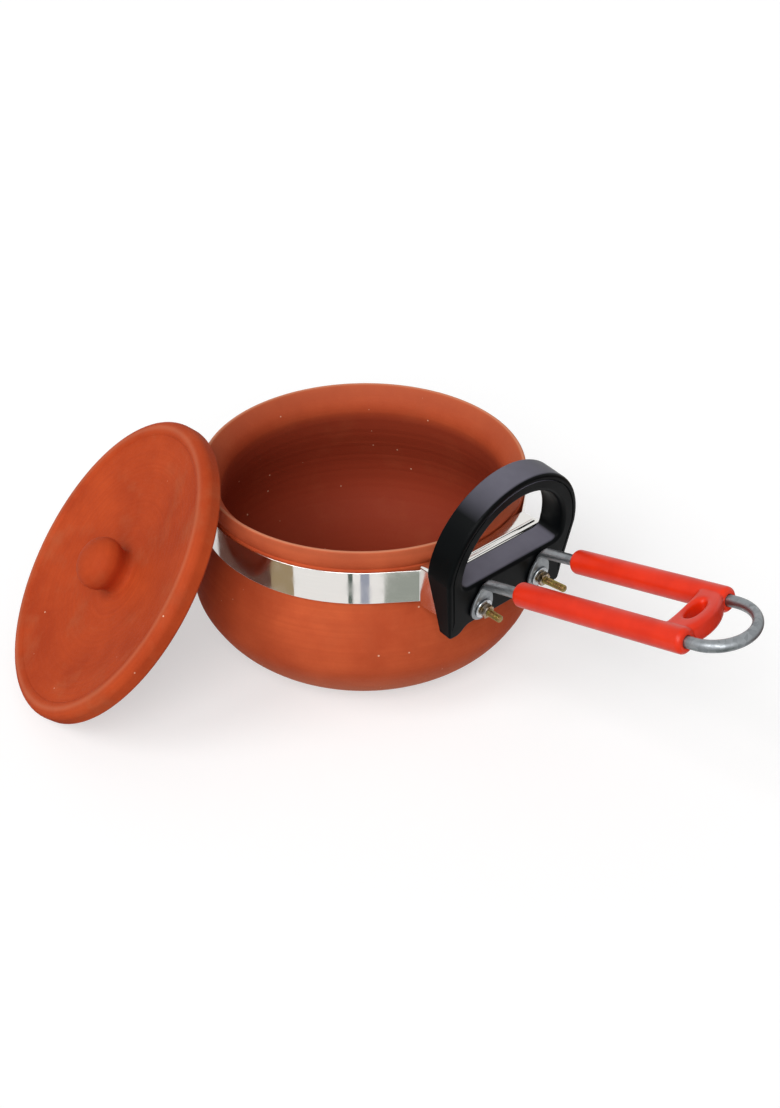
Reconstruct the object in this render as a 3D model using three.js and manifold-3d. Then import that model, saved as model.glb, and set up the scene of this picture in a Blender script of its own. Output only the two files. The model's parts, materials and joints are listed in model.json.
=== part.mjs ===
// Clay cooking pot with its lid leaning beside it, a steel neck band, a moulded loop handle
// and a long wire handle with a plastic grip.
// Millimetres, +Z up, origin at the middle of the flat base, +X out through the handles.
import * as THREE from 'three';
import { mergeVertices } from 'three/addons/utils/BufferGeometryUtils.js';
import Module from 'manifold-3d';

const wasm = await Module();
wasm.setup();

// Gaps between neighbouring pieces, and how far a cutting body runs past what it cuts
const SEAT_GAP = 0.3;
const STACK_GAP = 0.2;
const CUT_PAST = 1;
const WELD = 1e-4;

// Pot
const POT_HEIGHT = 111.1;
const RIM_RADIUS = 90.8;
const BASE_RADIUS = 52;
const BELLY_RADIUS = 98.6;
const BELLY_HEIGHT = 46;
const POT_WALL = 8.5;
const POT_FLOOR = 10;
const FLOOR_INSET = 6;
const LIP_HEIGHT = 12.4;
const LIP_ROLL = 1.2;
const NECK_INSET = 0.4;
const NECK_WALL = 10;
const NECK_SHOULDER = 0.5;
const GROOVE_DEPTH = 1.2;
const GROOVE_ABOVE_BAND = 2.2;
const THROAT_BELOW_BAND_TOP = 3;
const POT_FACETS = 62;

// Neck band, a thin strip in an open loop with its two ends turned into the guard
const BAND_HEIGHT = 19.7;
const BAND_THICKNESS = 0.8;
const BAND_STAND_OFF = 2.9;
const BAND_TAB = 7.5;
const BAND_BEND = 1.6;

// Guard, a steel box that joins the band to the loop handle
const GUARD_HALF_WIDTH = 38.8;
const GUARD_WALL = 1.2;
const GUARD_ABOVE_BAND = 3.6;
const GUARD_BELOW_BAND = 2.5;
const GUARD_POT_GAP = 1;
const GUARD_RIB_RADIUS = 0.9;
const GUARD_RIB_SETBACK = 3.6;

// Loop handle, set in a frame that leans outward with it and starts between its two bolts
const HANDLE_STAND_OFF = 7.1;
const HANDLE_ABOVE_BAND_BOTTOM = 6;
const HANDLE_LEAN = THREE.MathUtils.degToRad(7.3);
const HANDLE_DEPTH = 16.3;
const ARCH_RADIUS = 47.2;
const ARCH_ABOVE_BAR = 7;
const LIMB_WIDTH = 10.7;
const BAR_TOP = 17.5;
const BAR_DROP = 9.5;
const WINDOW_CORNER = 6;
const FOOT_INSET = 3.2;
const FOOT_WIDTH = 11;
const FOOT_DROP = 14;
const FOOT_CORNER = 3;
const HEEL_ABOVE_BAR = 4.5;
const HEEL_CUT = 9;
const EDGE_ROUND = 2;
const BEAD_INSET = 2.9;
const BEAD_WIDTH = 0.9;
const BEAD_DEPTH = 0.7;

// Fasteners
const BOLT_RADIUS = 2;
const BOLT_SPACING = 42.6;
const BOLT_REACH_NEAR = 8.5;
const BOLT_REACH_FAR = 14;
const BOLT_HEAD = 2.8;
const HEX_RADIUS = 4.04;
const NUT_HEIGHT = 3.2;
const NUT_CHAMFER = 0.3;
const WASHER_RADIUS = 5.5;
const WASHER_THICKNESS = 1;
const BOLT_SIDES = 16;
const WASHER_SIDES = 24;

// Wire handle
const WIRE_RADIUS = 3;
const WIRE_RISE = THREE.MathUtils.degToRad(15.1);
const WIRE_BEND = 6;
const WIRE_SPREAD = 0.6;
const LEG_ABOVE_BOLT = 15.5;
const LEG_PAST_GRIP = 6.6;
const LUG_THICKNESS = 2;
const LUG_RADIUS = 7.6;
const WIRE_SIDES = 14;

// Grip, whose outer end is set askew, so that the near leg is longer
const GRIP_RADIUS = 6.5;
const GRIP_START = 24.7;
const GRIP_LENGTH = 101;
const GRIP_CHAMFER = 1.6;
const GRIP_SKEW = 0.22;
const SLEEVE_PAST_BRIDGE = 2.4;
const GRIP_SIDES = 24;
const BRIDGE_WEB = 5;
const BRIDGE_HOLLOW = 1.5;
const BRIDGE_BULGE = 5.6;
const BRIDGE_THICKNESS = 8;
const BRIDGE_ROUND = 1.6;
const OVAL_LENGTH = 19.6;
const OVAL_WIDTH = 8;
const OVAL_SETBACK = 5;

// Lid, measured from the level where its edge is widest
const LID_INSET = 2.3;
const LID_LEAN = THREE.MathUtils.degToRad(49.8);
const LID_BEARING = THREE.MathUtils.degToRad(-113.9);
const LID_RIM_HEIGHT = 5.5;
const LID_RIM_WIDTH = 9.5;
const LID_CREST_INSET = 5.2;
const LID_CREASE_DEPTH = 0.9;
const LID_EDGE_DROP = 4;
const LID_EDGE_ROUND = 2.2;
const LID_DISH = 5.5;
const LID_UNDER = 16.2;
const LID_FOOT_CLEARANCE = 14.4;
const LID_FOOT_WIDTH = 8;
const LID_FOOT_ROUND = 0.6;
const LID_RECESS = 3;
const KNOB_RADIUS = 15;
const KNOB_NECK_RADIUS = 12;
const KNOB_TOP = 19;
const KNOB_MIDDLE = 7.5;
const KNOB_NECK_RISE = 3;
const KNOB_FILLET = 2.5;
const LID_FACETS = 60;
const LEAN_LEVELS = 400;

// Radii and levels that follow from the sizes above
const NECK_RADIUS = RIM_RADIUS - NECK_INSET;
const THROAT_RADIUS = NECK_RADIUS - NECK_WALL;
const BAND_TOP = POT_HEIGHT - LIP_HEIGHT;
const BAND_BOTTOM = BAND_TOP - BAND_HEIGHT;
const BAND_RADIUS = (NECK_RADIUS + SEAT_GAP + BAND_THICKNESS / 2) / Math.cos(Math.PI / POT_FACETS);
const BAND_CORNER_Y = GUARD_HALF_WIDTH - GUARD_WALL - SEAT_GAP - BAND_THICKNESS / 2;
const BAND_CORNER_X = Math.sqrt((BAND_RADIUS + BAND_STAND_OFF) ** 2 - BAND_CORNER_Y ** 2);
const GUARD_BACK = BAND_CORNER_X + BAND_THICKNESS / 2 + SEAT_GAP;
const GUARD_BOTTOM = BAND_BOTTOM - GUARD_BELOW_BAND;
const GUARD_TOP = BAND_TOP + GUARD_ABOVE_BAND;
const ARCH_CENTRE = BAR_TOP + ARCH_ABOVE_BAR;
const HEEL_TOP = BAR_TOP + HEEL_ABOVE_BAR;
const HEEL_SLOPE = HEEL_CUT / (HEEL_TOP + FOOT_DROP);
const HOLE_RADIUS = BOLT_RADIUS + SEAT_GAP;
const LUG_BACK = HANDLE_DEPTH + SEAT_GAP;
const LUG_MIDDLE = LUG_BACK + LUG_THICKNESS / 2;
const WASHER_BACK = LUG_BACK + LUG_THICKNESS + STACK_GAP;
const NUT_BACK = WASHER_BACK + WASHER_THICKNESS + STACK_GAP;
const NUT_FRONT = NUT_BACK + NUT_HEIGHT;
const LEG_HALF_SPACING = BOLT_SPACING / 2;
const GRIP_END = GRIP_START + GRIP_LENGTH;
const LEG_LENGTH = GRIP_END + LEG_PAST_GRIP;
const LID_RADIUS = RIM_RADIUS - LID_INSET;
const LID_FOOT_RADIUS = THROAT_RADIUS - LID_FOOT_CLEARANCE;

// Headings of a profile in degrees, and how far a curve follows them as a share of its span
const OUT = 0;
const UP = 90;
const IN = 180;
const DOWN = 270;
const FULLNESS = 0.39;

// Shorthand for a point in a flat outline.
function at(x, y) {
  return new THREE.Vector2(x, y);
}

// Points of a curve after its first one, from one point and heading to another.
function sweep(start, startHeading, end, endHeading, steps, leave = FULLNESS, arrive = FULLNESS) {
  const span = start.distanceTo(end);
  const way = (heading) => at(1, 0).rotateAround(at(0, 0), THREE.MathUtils.degToRad(heading));
  const pull = start.clone().addScaledVector(way(startHeading), leave * span);
  const push = end.clone().addScaledVector(way(endHeading), -arrive * span);
  return new THREE.CubicBezierCurve(start, pull, push, end).getPoints(steps).slice(1);
}

// Points of a circle arc, both ends included.
function arc(centre, radius, from, to, steps) {
  const points = [];
  for (let i = 0; i <= steps; i++) {
    const angle = from + (to - from) * i / steps;
    points.push(at(centre.x + radius * Math.cos(angle), centre.y + radius * Math.sin(angle)));
  }
  return points;
}

// Closed body for cutting and joining, with doubled points and empty triangles taken out.
function toSolid(geometry) {
  const bare = geometry.index ? geometry.toNonIndexed() : geometry.clone();
  bare.deleteAttribute('normal');
  bare.deleteAttribute('uv');
  const welded = mergeVertices(bare, WELD);
  const corners = welded.index.array;
  const triangles = [];
  for (let i = 0; i < corners.length; i += 3) {
    const [a, b, c] = [corners[i], corners[i + 1], corners[i + 2]];
    if (a !== b && b !== c && c !== a) {
      triangles.push(a, b, c);
    }
  }
  const vertProperties = Float32Array.from(welded.attributes.position.array);
  const triVerts = Uint32Array.from(triangles);
  return new wasm.Manifold(new wasm.Mesh({ numProp: 3, vertProperties, triVerts }));
}

// Drawable geometry of a cut or joined body.
function toGeometry(solid) {
  const mesh = solid.getMesh();
  const geometry = new THREE.BufferGeometry();
  geometry.setAttribute('position', new THREE.BufferAttribute(Float32Array.from(mesh.vertProperties), 3));
  geometry.setIndex(new THREE.BufferAttribute(Uint32Array.from(mesh.triVerts), 1));
  geometry.computeVertexNormals();
  return geometry;
}

// Turned body from a profile of radius and height, standing on Z.
function turned(profile, facets) {
  return new THREE.LatheGeometry(profile, facets).rotateX(Math.PI / 2);
}

// Round bar along X from one place to another, level with the bolts.
function barAlongX(radius, from, to, y, sides) {
  const bar = new THREE.CylinderGeometry(radius, radius, to - from, sides);
  return bar.rotateZ(-Math.PI / 2).translate((from + to) / 2, y, 0);
}

// Flat outline in the Y-Z plane given depth along X from the given place, with rounded edges if asked.
function plateAlongX(shape, from, depth, round) {
  const bevel = { bevelThickness: round, bevelSize: round, bevelOffset: -round, bevelSegments: 3 };
  const options = { depth: depth - 2 * round, curveSegments: 8, bevelEnabled: round > 0, ...bevel };
  const plate = new THREE.ExtrudeGeometry(shape, options).translate(0, 0, from + round);
  const turn = new THREE.Matrix4().makeBasis(
    new THREE.Vector3(0, 1, 0), new THREE.Vector3(0, 0, 1), new THREE.Vector3(1, 0, 0));
  return plate.applyMatrix4(turn);
}

// Flat outline in the X-Z plane given width along Y to both sides.
function blockAcrossY(outline, halfWidth) {
  const options = { depth: 2 * halfWidth, bevelEnabled: false };
  const block = new THREE.ExtrudeGeometry(new THREE.Shape(outline), options);
  return toSolid(block.rotateX(Math.PI / 2).translate(0, halfWidth, 0));
}

function piece(name, geometry, colour, roughness, metalness) {
  const material = new THREE.MeshStandardMaterial({ color: colour, roughness, metalness });
  const mesh = new THREE.Mesh(geometry, material);
  mesh.name = name;
  return mesh;
}

// Outside of the pot from the base edge up over the lip, radius first and height second.
function potOutside() {
  const base = at(BASE_RADIUS, 0);
  const belly = at(BELLY_RADIUS, BELLY_HEIGHT);
  const seatBottom = at(NECK_RADIUS, BAND_BOTTOM - NECK_SHOULDER);
  const seatTop = at(NECK_RADIUS, BAND_TOP + NECK_SHOULDER);
  const groove = at(NECK_RADIUS - GROOVE_DEPTH, BAND_TOP + GROOVE_ABOVE_BAND);
  const rollCentre = at(RIM_RADIUS - LIP_ROLL, POT_HEIGHT - LIP_ROLL);
  const roll = arc(rollCentre, LIP_ROLL, 0, Math.PI * 0.7, 5);
  const points = [base];
  points.push(...sweep(base, OUT, belly, UP, 9, 0.284, 0.4));
  points.push(...sweep(belly, UP, seatBottom, 104, 6, 0.354, 0.26));
  points.push(seatTop);
  points.push(...sweep(seatTop, UP, groove, UP, 3));
  points.push(...sweep(groove, 66, roll[0], UP, 4));
  points.push(...roll.slice(1));
  return points;
}

// Inside of the pot from the lip down to the edge of its flat floor.
function potInside(lip) {
  const throat = at(THROAT_RADIUS, BAND_TOP - THROAT_BELOW_BAND_TOP);
  const widest = at(BELLY_RADIUS - POT_WALL, BELLY_HEIGHT);
  const floor = at(BASE_RADIUS - FLOOR_INSET, POT_FLOOR);
  const points = sweep(lip, 228, throat, DOWN, 4);
  points.push(...sweep(throat, DOWN, widest, DOWN, 4));
  points.push(...sweep(widest, DOWN, floor, IN, 6));
  return points;
}

function potBody() {
  const outside = potOutside();
  const inside = potInside(outside[outside.length - 1]);
  const profile = [at(0, 0), ...outside, ...inside, at(0, POT_FLOOR)];
  return piece('pot_body', turned(profile, POT_FACETS), 0xb5492a, 0.9, 0);
}

// Middle line of the strip seen from above, from the tab on the +Y side round the back to the other tab.
function bandLine() {
  const corner = at(BAND_CORNER_X, BAND_CORNER_Y);
  const leave = corner.angle() + Math.acos(BAND_RADIUS / corner.length());
  const tangent = at(BAND_RADIUS * Math.cos(leave), BAND_RADIUS * Math.sin(leave));
  const along = tangent.clone().sub(corner).normalize();
  const before = at(corner.x + BAND_BEND, corner.y);
  const after = corner.clone().addScaledVector(along, BAND_BEND);
  const steps = Math.ceil((Math.PI - leave) * POT_FACETS / (2 * Math.PI));
  const half = [at(BAND_CORNER_X + BAND_TAB, BAND_CORNER_Y)];
  half.push(...new THREE.QuadraticBezierCurve(before, corner, after).getPoints(4));
  half.push(...arc(at(0, 0), BAND_RADIUS, leave, Math.PI, steps));
  const mirrored = half.slice(0, -1).reverse().map((point) => at(point.x, -point.y));
  return [...half, ...mirrored];
}

// The same line moved sideways by a distance, with mitred corners.
function moved(line, distance) {
  const headings = line.slice(1).map((point, i) => point.clone().sub(line[i]).normalize());
  return line.map((point, i) => {
    const before = headings[Math.max(i - 1, 0)];
    const after = headings[Math.min(i, headings.length - 1)];
    const mitre = before.clone().add(after).normalize();
    const reach = distance / mitre.dot(after);
    return at(point.x - mitre.y * reach, point.y + mitre.x * reach);
  });
}

function neckBand() {
  const line = bandLine();
  const outline = [...moved(line, BAND_THICKNESS / 2), ...moved(line, -BAND_THICKNESS / 2).reverse()];
  const options = { depth: BAND_HEIGHT, bevelEnabled: false };
  const strip = new THREE.ExtrudeGeometry(new THREE.Shape(outline), options);
  return piece('neck_band', strip.translate(0, 0, BAND_BOTTOM), 0xc9c7c2, 0.12, 1);
}

// Frame of the loop handle, with X out along the bolts.
function handleFrame() {
  const frame = new THREE.Group();
  frame.position.set(NECK_RADIUS + HANDLE_STAND_OFF, 0, BAND_BOTTOM + HANDLE_ABOVE_BAND_BOTTOM);
  frame.rotation.y = HANDLE_LEAN;
  frame.updateMatrix();
  return frame;
}

// Distance out from the pot axis to the sloping heel of the loop handle at a level, less an inset.
function heelAt(level, inset) {
  const tilt = handleFrame().matrix;
  const top = new THREE.Vector3(0, 0, HEEL_TOP).applyMatrix4(tilt);
  const foot = new THREE.Vector3(HEEL_CUT, 0, -FOOT_DROP).applyMatrix4(tilt);
  const run = (foot.x - top.x) / (foot.z - top.z);
  return top.x + (level - top.z) * run - inset * Math.hypot(1, run);
}

// Block between two levels that runs from one distance out up to the heel of the handle.
function guardBlock(back, inset, bottom, top, halfWidth) {
  const outline = [
    at(back, bottom),
    at(heelAt(bottom, inset), bottom),
    at(heelAt(top, inset), top),
    at(back, top),
  ];
  return blockAcrossY(outline, halfWidth);
}

function handleGuard() {
  const shell = guardBlock(GUARD_BACK, SEAT_GAP, GUARD_BOTTOM, GUARD_TOP, GUARD_HALF_WIDTH);
  const hollow = guardBlock(
    GUARD_BACK - CUT_PAST, SEAT_GAP + GUARD_WALL,
    GUARD_BOTTOM + GUARD_WALL, GUARD_TOP - GUARD_WALL, GUARD_HALF_WIDTH - GUARD_WALL);
  const clear = potOutside().map((point) => at(point.x + GUARD_POT_GAP, point.y));
  const potSpace = toSolid(turned([at(0, 0), ...clear, at(0, POT_HEIGHT)], POT_FACETS));
  const ribLength = 2 * (GUARD_HALF_WIDTH - 2 * GUARD_WALL);
  const rib = new THREE.CylinderGeometry(GUARD_RIB_RADIUS, GUARD_RIB_RADIUS, ribLength, 10);
  rib.translate(heelAt(GUARD_TOP, SEAT_GAP) - GUARD_RIB_SETBACK, 0, GUARD_TOP - GUARD_RIB_RADIUS / 4);
  let guard = shell.subtract(hollow).subtract(potSpace).add(toSolid(rib));
  const tilt = handleFrame().matrix;
  for (const side of [-1, 1]) {
    const drill = barAlongX(HOLE_RADIUS, 0, HANDLE_DEPTH, side * LEG_HALF_SPACING, BOLT_SIDES);
    guard = guard.subtract(toSolid(drill.applyMatrix4(tilt)));
  }
  return piece('handle_guard', toGeometry(guard), 0xd0cdc8, 0.14, 1);
}

// Outline of the loop handle in its own frame, across first and up second.
function handleOutline() {
  const footOuter = ARCH_RADIUS - FOOT_INSET;
  const footInner = footOuter - FOOT_WIDTH;
  const outline = new THREE.Shape();
  outline.moveTo(ARCH_RADIUS, ARCH_CENTRE);
  outline.absarc(0, ARCH_CENTRE, ARCH_RADIUS, 0, Math.PI, false);
  outline.lineTo(-footOuter, FOOT_CORNER - FOOT_DROP);
  outline.quadraticCurveTo(-footOuter, -FOOT_DROP, -footOuter + FOOT_CORNER, -FOOT_DROP);
  outline.lineTo(-footInner - FOOT_CORNER, -FOOT_DROP);
  outline.quadraticCurveTo(-footInner, -FOOT_DROP, -footInner + FOOT_CORNER, -BAR_DROP);
  outline.lineTo(footInner - FOOT_CORNER, -BAR_DROP);
  outline.quadraticCurveTo(footInner, -FOOT_DROP, footInner + FOOT_CORNER, -FOOT_DROP);
  outline.lineTo(footOuter - FOOT_CORNER, -FOOT_DROP);
  outline.quadraticCurveTo(footOuter, -FOOT_DROP, footOuter, FOOT_CORNER - FOOT_DROP);
  outline.closePath();
  return outline;
}

// Opening of the loop for the fingers.
function handleWindow() {
  const half = ARCH_RADIUS - LIMB_WIDTH;
  const hole = new THREE.Path();
  hole.moveTo(half, ARCH_CENTRE);
  hole.absarc(0, ARCH_CENTRE, half, 0, Math.PI, false);
  hole.quadraticCurveTo(-half, BAR_TOP, -half + WINDOW_CORNER, BAR_TOP);
  hole.lineTo(half - WINDOW_CORNER, BAR_TOP);
  hole.quadraticCurveTo(half, BAR_TOP, half, ARCH_CENTRE);
  return hole;
}

// Narrow half ring that follows the arch, for the groove in the front of the loop.
function archGroove() {
  const outer = ARCH_RADIUS - BEAD_INSET;
  const groove = new THREE.Shape();
  groove.moveTo(outer, ARCH_CENTRE);
  groove.absarc(0, ARCH_CENTRE, outer, 0, Math.PI, false);
  groove.lineTo(BEAD_WIDTH - outer, ARCH_CENTRE);
  groove.absarc(0, ARCH_CENTRE, outer - BEAD_WIDTH, Math.PI, 0, true);
  groove.closePath();
  return groove;
}

// Wedge that thins the loop handle from behind towards its feet.
function heelWedge() {
  const below = FOOT_DROP + CUT_PAST;
  const outline = [
    at(-CUT_PAST, HEEL_TOP),
    at(0, HEEL_TOP),
    at((HEEL_TOP + below) * HEEL_SLOPE, -below),
    at(-CUT_PAST, -below),
  ];
  return blockAcrossY(outline, ARCH_RADIUS + CUT_PAST);
}

function sideHandle() {
  const outline = handleOutline();
  outline.holes.push(handleWindow());
  const groove = plateAlongX(archGroove(), HANDLE_DEPTH - BEAD_DEPTH, BEAD_DEPTH + CUT_PAST, 0);
  let handle = toSolid(plateAlongX(outline, 0, HANDLE_DEPTH, EDGE_ROUND));
  handle = handle.subtract(toSolid(groove)).subtract(heelWedge());
  for (const side of [-1, 1]) {
    const y = side * LEG_HALF_SPACING;
    const drill = barAlongX(HOLE_RADIUS, -CUT_PAST, HANDLE_DEPTH + CUT_PAST, y, BOLT_SIDES);
    handle = handle.subtract(toSolid(drill));
  }
  const frame = handleFrame();
  frame.add(piece('side_handle', toGeometry(handle), 0x1b1c20, 0.38, 0));
  return frame;
}

// Flat shape with six equal sides.
function hexShape() {
  return new THREE.Shape(arc(at(0, 0), HEX_RADIUS, 0, Math.PI * 5 / 3, 5));
}

// Bolt whose head lies flat against the upper edge of its seat inside the guard and reaches past its nut.
function bolt(name, y, reach) {
  const plateBack = HEEL_SLOPE * HEEL_TOP - (2 * SEAT_GAP + GUARD_WALL) * Math.hypot(1, HEEL_SLOPE);
  const seat = plateBack - HEX_RADIUS * HEEL_SLOPE;
  const head = plateAlongX(hexShape(), seat - BOLT_HEAD, BOLT_HEAD, 0);
  const shank = barAlongX(BOLT_RADIUS, seat - BOLT_HEAD / 2, NUT_FRONT + reach, 0, BOLT_SIDES);
  const whole = toSolid(head).add(toSolid(shank)).translate([0, y, 0]);
  return piece(name, toGeometry(whole), 0xb09a55, 0.35, 1);
}

function washer(name, y) {
  const profile = [
    at(HOLE_RADIUS, 0),
    at(WASHER_RADIUS, 0),
    at(WASHER_RADIUS, WASHER_THICKNESS),
    at(HOLE_RADIUS, WASHER_THICKNESS),
    at(HOLE_RADIUS, 0),
  ];
  const ring = new THREE.LatheGeometry(profile, WASHER_SIDES).rotateZ(-Math.PI / 2);
  return piece(name, ring.translate(WASHER_BACK, y, 0), 0xc4c6c4, 0.3, 1);
}

function nut(name, y) {
  const outline = hexShape();
  outline.holes.push(new THREE.Path().absarc(0, 0, HOLE_RADIUS, 0, Math.PI * 2, true));
  const body = plateAlongX(outline, NUT_BACK, NUT_HEIGHT, NUT_CHAMFER).translate(0, y, 0);
  return piece(name, body, 0xb59a5a, 0.35, 1);
}

function fasteners() {
  const frame = handleFrame();
  const sides = [['near', -LEG_HALF_SPACING, BOLT_REACH_NEAR], ['far', LEG_HALF_SPACING, BOLT_REACH_FAR]];
  for (const [name, y, reach] of sides) {
    frame.add(bolt(`bolt_${name}`, y, reach));
    frame.add(washer(`washer_${name}`, y));
    frame.add(nut(`nut_${name}`, y));
  }
  return frame;
}

// One ring of the wire: half width along one way, half thickness along another, and how square it is.
function wireRing(place, widthWay, thickWay, halfWidth, halfThick, squareness) {
  const ring = [];
  for (let i = 0; i < WIRE_SIDES; i++) {
    const angle = 2 * Math.PI * (i + 0.5) / WIRE_SIDES;
    const [c, s] = [Math.cos(angle), Math.sin(angle)];
    const across = halfWidth * Math.sign(c) * Math.abs(c) ** (2 / squareness);
    const through = halfThick * Math.sign(s) * Math.abs(s) ** (2 / squareness);
    ring.push(place.clone().addScaledVector(widthWay, across).addScaledVector(thickWay, through));
  }
  return ring;
}

// Rings of one end of the wire in the handle frame: round-ended lug, neck, bend up to the leg.
function lugRings(side) {
  const rings = [];
  const widthWay = new THREE.Vector3(0, -side, 0);
  const flatWay = new THREE.Vector3(-1, 0, 0);
  const spot = (x, z) => new THREE.Vector3(x, side * LEG_HALF_SPACING, z);
  const bendTurn = Math.PI / 2 - WIRE_RISE - HANDLE_LEAN;
  const bendStart = LEG_ABOVE_BOLT - WIRE_BEND * Math.tan(bendTurn / 2);
  const half = LUG_THICKNESS / 2;
  const neckWidth = WIRE_RADIUS + WIRE_SPREAD;
  const [endSteps, neckSteps, bendSteps] = [5, 3, 5];
  const [flatSquareness, neckSquareness, roundSquareness] = [6, 4, 2];
  for (let i = 1; i <= endSteps; i++) {
    const angle = Math.PI / 2 * (i - 0.5) / (endSteps - 0.5);
    const place = spot(LUG_MIDDLE, -LUG_RADIUS * Math.cos(angle));
    rings.push(wireRing(place, widthWay, flatWay, LUG_RADIUS * Math.sin(angle), half, flatSquareness));
  }
  for (let i = 1; i <= neckSteps; i++) {
    const share = i / neckSteps;
    const width = THREE.MathUtils.lerp(LUG_RADIUS, neckWidth, share ** 2.2);
    const squareness = THREE.MathUtils.lerp(flatSquareness, neckSquareness, share);
    rings.push(wireRing(spot(LUG_MIDDLE, share * bendStart), widthWay, flatWay, width, half, squareness));
  }
  for (let i = 1; i <= bendSteps; i++) {
    const share = i / bendSteps;
    const turn = bendTurn * share;
    const place = spot(LUG_MIDDLE + WIRE_BEND * (1 - Math.cos(turn)), bendStart + WIRE_BEND * Math.sin(turn));
    const outward = new THREE.Vector3(-Math.cos(turn), 0, Math.sin(turn));
    const width = THREE.MathUtils.lerp(neckWidth, WIRE_RADIUS, share);
    const thick = THREE.MathUtils.lerp(half, WIRE_RADIUS, share ** 2);
    const squareness = THREE.MathUtils.lerp(neckSquareness, roundSquareness, share);
    rings.push(wireRing(place, widthWay, outward, width, thick, squareness));
  }
  return rings;
}

// Frame at the start of the legs, with X along them.
function legFrame() {
  const frame = new THREE.Group();
  frame.position.set(LUG_MIDDLE, 0, LEG_ABOVE_BOLT).applyMatrix4(handleFrame().matrix);
  frame.rotation.y = -WIRE_RISE;
  frame.updateMatrix();
  return frame;
}

// How much longer the wire handle is at a place across than in its middle.
function askew(y) {
  return -GRIP_SKEW * y;
}

// Rings of the skewed half circle that joins the two legs, in the leg frame.
function turnRings() {
  const rings = [];
  const steps = 14;
  const middle = new THREE.Vector3(LEG_LENGTH, 0, 0);
  const up = new THREE.Vector3(0, 0, 1);
  for (let i = 0; i <= steps; i++) {
    const angle = -Math.PI / 2 + Math.PI * i / steps;
    const outward = new THREE.Vector3(Math.cos(angle), Math.sin(angle), 0);
    const place = middle.clone().addScaledVector(outward, LEG_HALF_SPACING);
    const ring = wireRing(place, outward.negate(), up, WIRE_RADIUS, WIRE_RADIUS, 2);
    rings.push(ring.map((point) => point.setX(point.x + askew(point.y))));
  }
  return rings;
}

// Closed skin over a row of rings with a fan on each end.
function loft(rings) {
  const index = [];
  const count = WIRE_SIDES;
  for (let r = 0; r + 1 < rings.length; r++) {
    for (let i = 0; i < count; i++) {
      const [a, b] = [r * count + i, r * count + (i + 1) % count];
      index.push(a, b, b + count, a, b + count, a + count);
    }
  }
  const last = (rings.length - 1) * count;
  for (let i = 1; i + 1 < count; i++) {
    index.push(0, i + 1, i, last, last + i, last + i + 1);
  }
  const geometry = new THREE.BufferGeometry().setFromPoints(rings.flat());
  geometry.setIndex(index);
  return geometry;
}

function wireHandle() {
  const handleMatrix = handleFrame().matrix;
  const placeRing = (ring, matrix) => ring.map((point) => point.clone().applyMatrix4(matrix));
  const place = (rings, matrix) => rings.map((ring) => placeRing(ring, matrix));
  const nearEnd = place(lugRings(-1), handleMatrix);
  const farEnd = place(lugRings(1), handleMatrix).reverse();
  let wire = toSolid(loft([...nearEnd, ...place(turnRings(), legFrame().matrix), ...farEnd]));
  for (const side of [-1, 1]) {
    const lugFront = LUG_BACK + LUG_THICKNESS;
    const y = side * LEG_HALF_SPACING;
    const drill = barAlongX(HOLE_RADIUS, LUG_BACK - CUT_PAST, lugFront + CUT_PAST, y, BOLT_SIDES);
    wire = wire.subtract(toSolid(drill.applyMatrix4(handleMatrix)));
  }
  return piece('wire_handle', toGeometry(wire), 0x9a9c9a, 0.4, 1);
}

// Where a sleeve ends along its leg.
function sleeveEnd(y) {
  return GRIP_END + SLEEVE_PAST_BRIDGE + askew(y);
}

// Sleeve round one leg, chamfered at both ends.
function sleeve(y) {
  const chamfered = GRIP_RADIUS - GRIP_CHAMFER;
  const end = sleeveEnd(y);
  const profile = [
    at(0, GRIP_START),
    at(chamfered, GRIP_START),
    at(GRIP_RADIUS, GRIP_START + GRIP_CHAMFER),
    at(GRIP_RADIUS, end - GRIP_CHAMFER),
    at(chamfered, end),
    at(0, end),
  ];
  return toSolid(new THREE.LatheGeometry(profile, GRIP_SIDES).rotateZ(-Math.PI / 2).translate(0, y, 0));
}

// Bridge between the sleeves with a bulging outer edge and an oval hole.
function bridge() {
  const half = LEG_HALF_SPACING;
  const middle = GRIP_END - OVAL_SETBACK;
  const inner = middle - OVAL_WIDTH / 2 - BRIDGE_WEB;
  const outer = GRIP_END - GRIP_CHAMFER;
  const crown = outer + (BRIDGE_BULGE + GRIP_CHAMFER) * 4 / 3;
  const outline = new THREE.Shape();
  outline.moveTo(inner, -half);
  outline.lineTo(outer + askew(-half), -half);
  outline.bezierCurveTo(
    crown + askew(-half / 2), -half / 2, crown + askew(half / 2), half / 2, outer + askew(half), half);
  outline.lineTo(inner, half);
  outline.quadraticCurveTo(inner + 2 * BRIDGE_HOLLOW, 0, inner, -half);
  const oval = new THREE.Path();
  oval.absellipse(middle, 0, OVAL_WIDTH / 2, OVAL_LENGTH / 2, 0, 2 * Math.PI, true);
  outline.holes.push(oval);
  const bevel = { bevelThickness: BRIDGE_ROUND, bevelSize: BRIDGE_ROUND, bevelOffset: -BRIDGE_ROUND };
  const depth = BRIDGE_THICKNESS - 2 * BRIDGE_ROUND;
  const plate = new THREE.ExtrudeGeometry(outline, { depth, curveSegments: 10, bevelSegments: 2, ...bevel });
  return toSolid(plate.translate(0, 0, BRIDGE_ROUND - BRIDGE_THICKNESS / 2));
}

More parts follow.
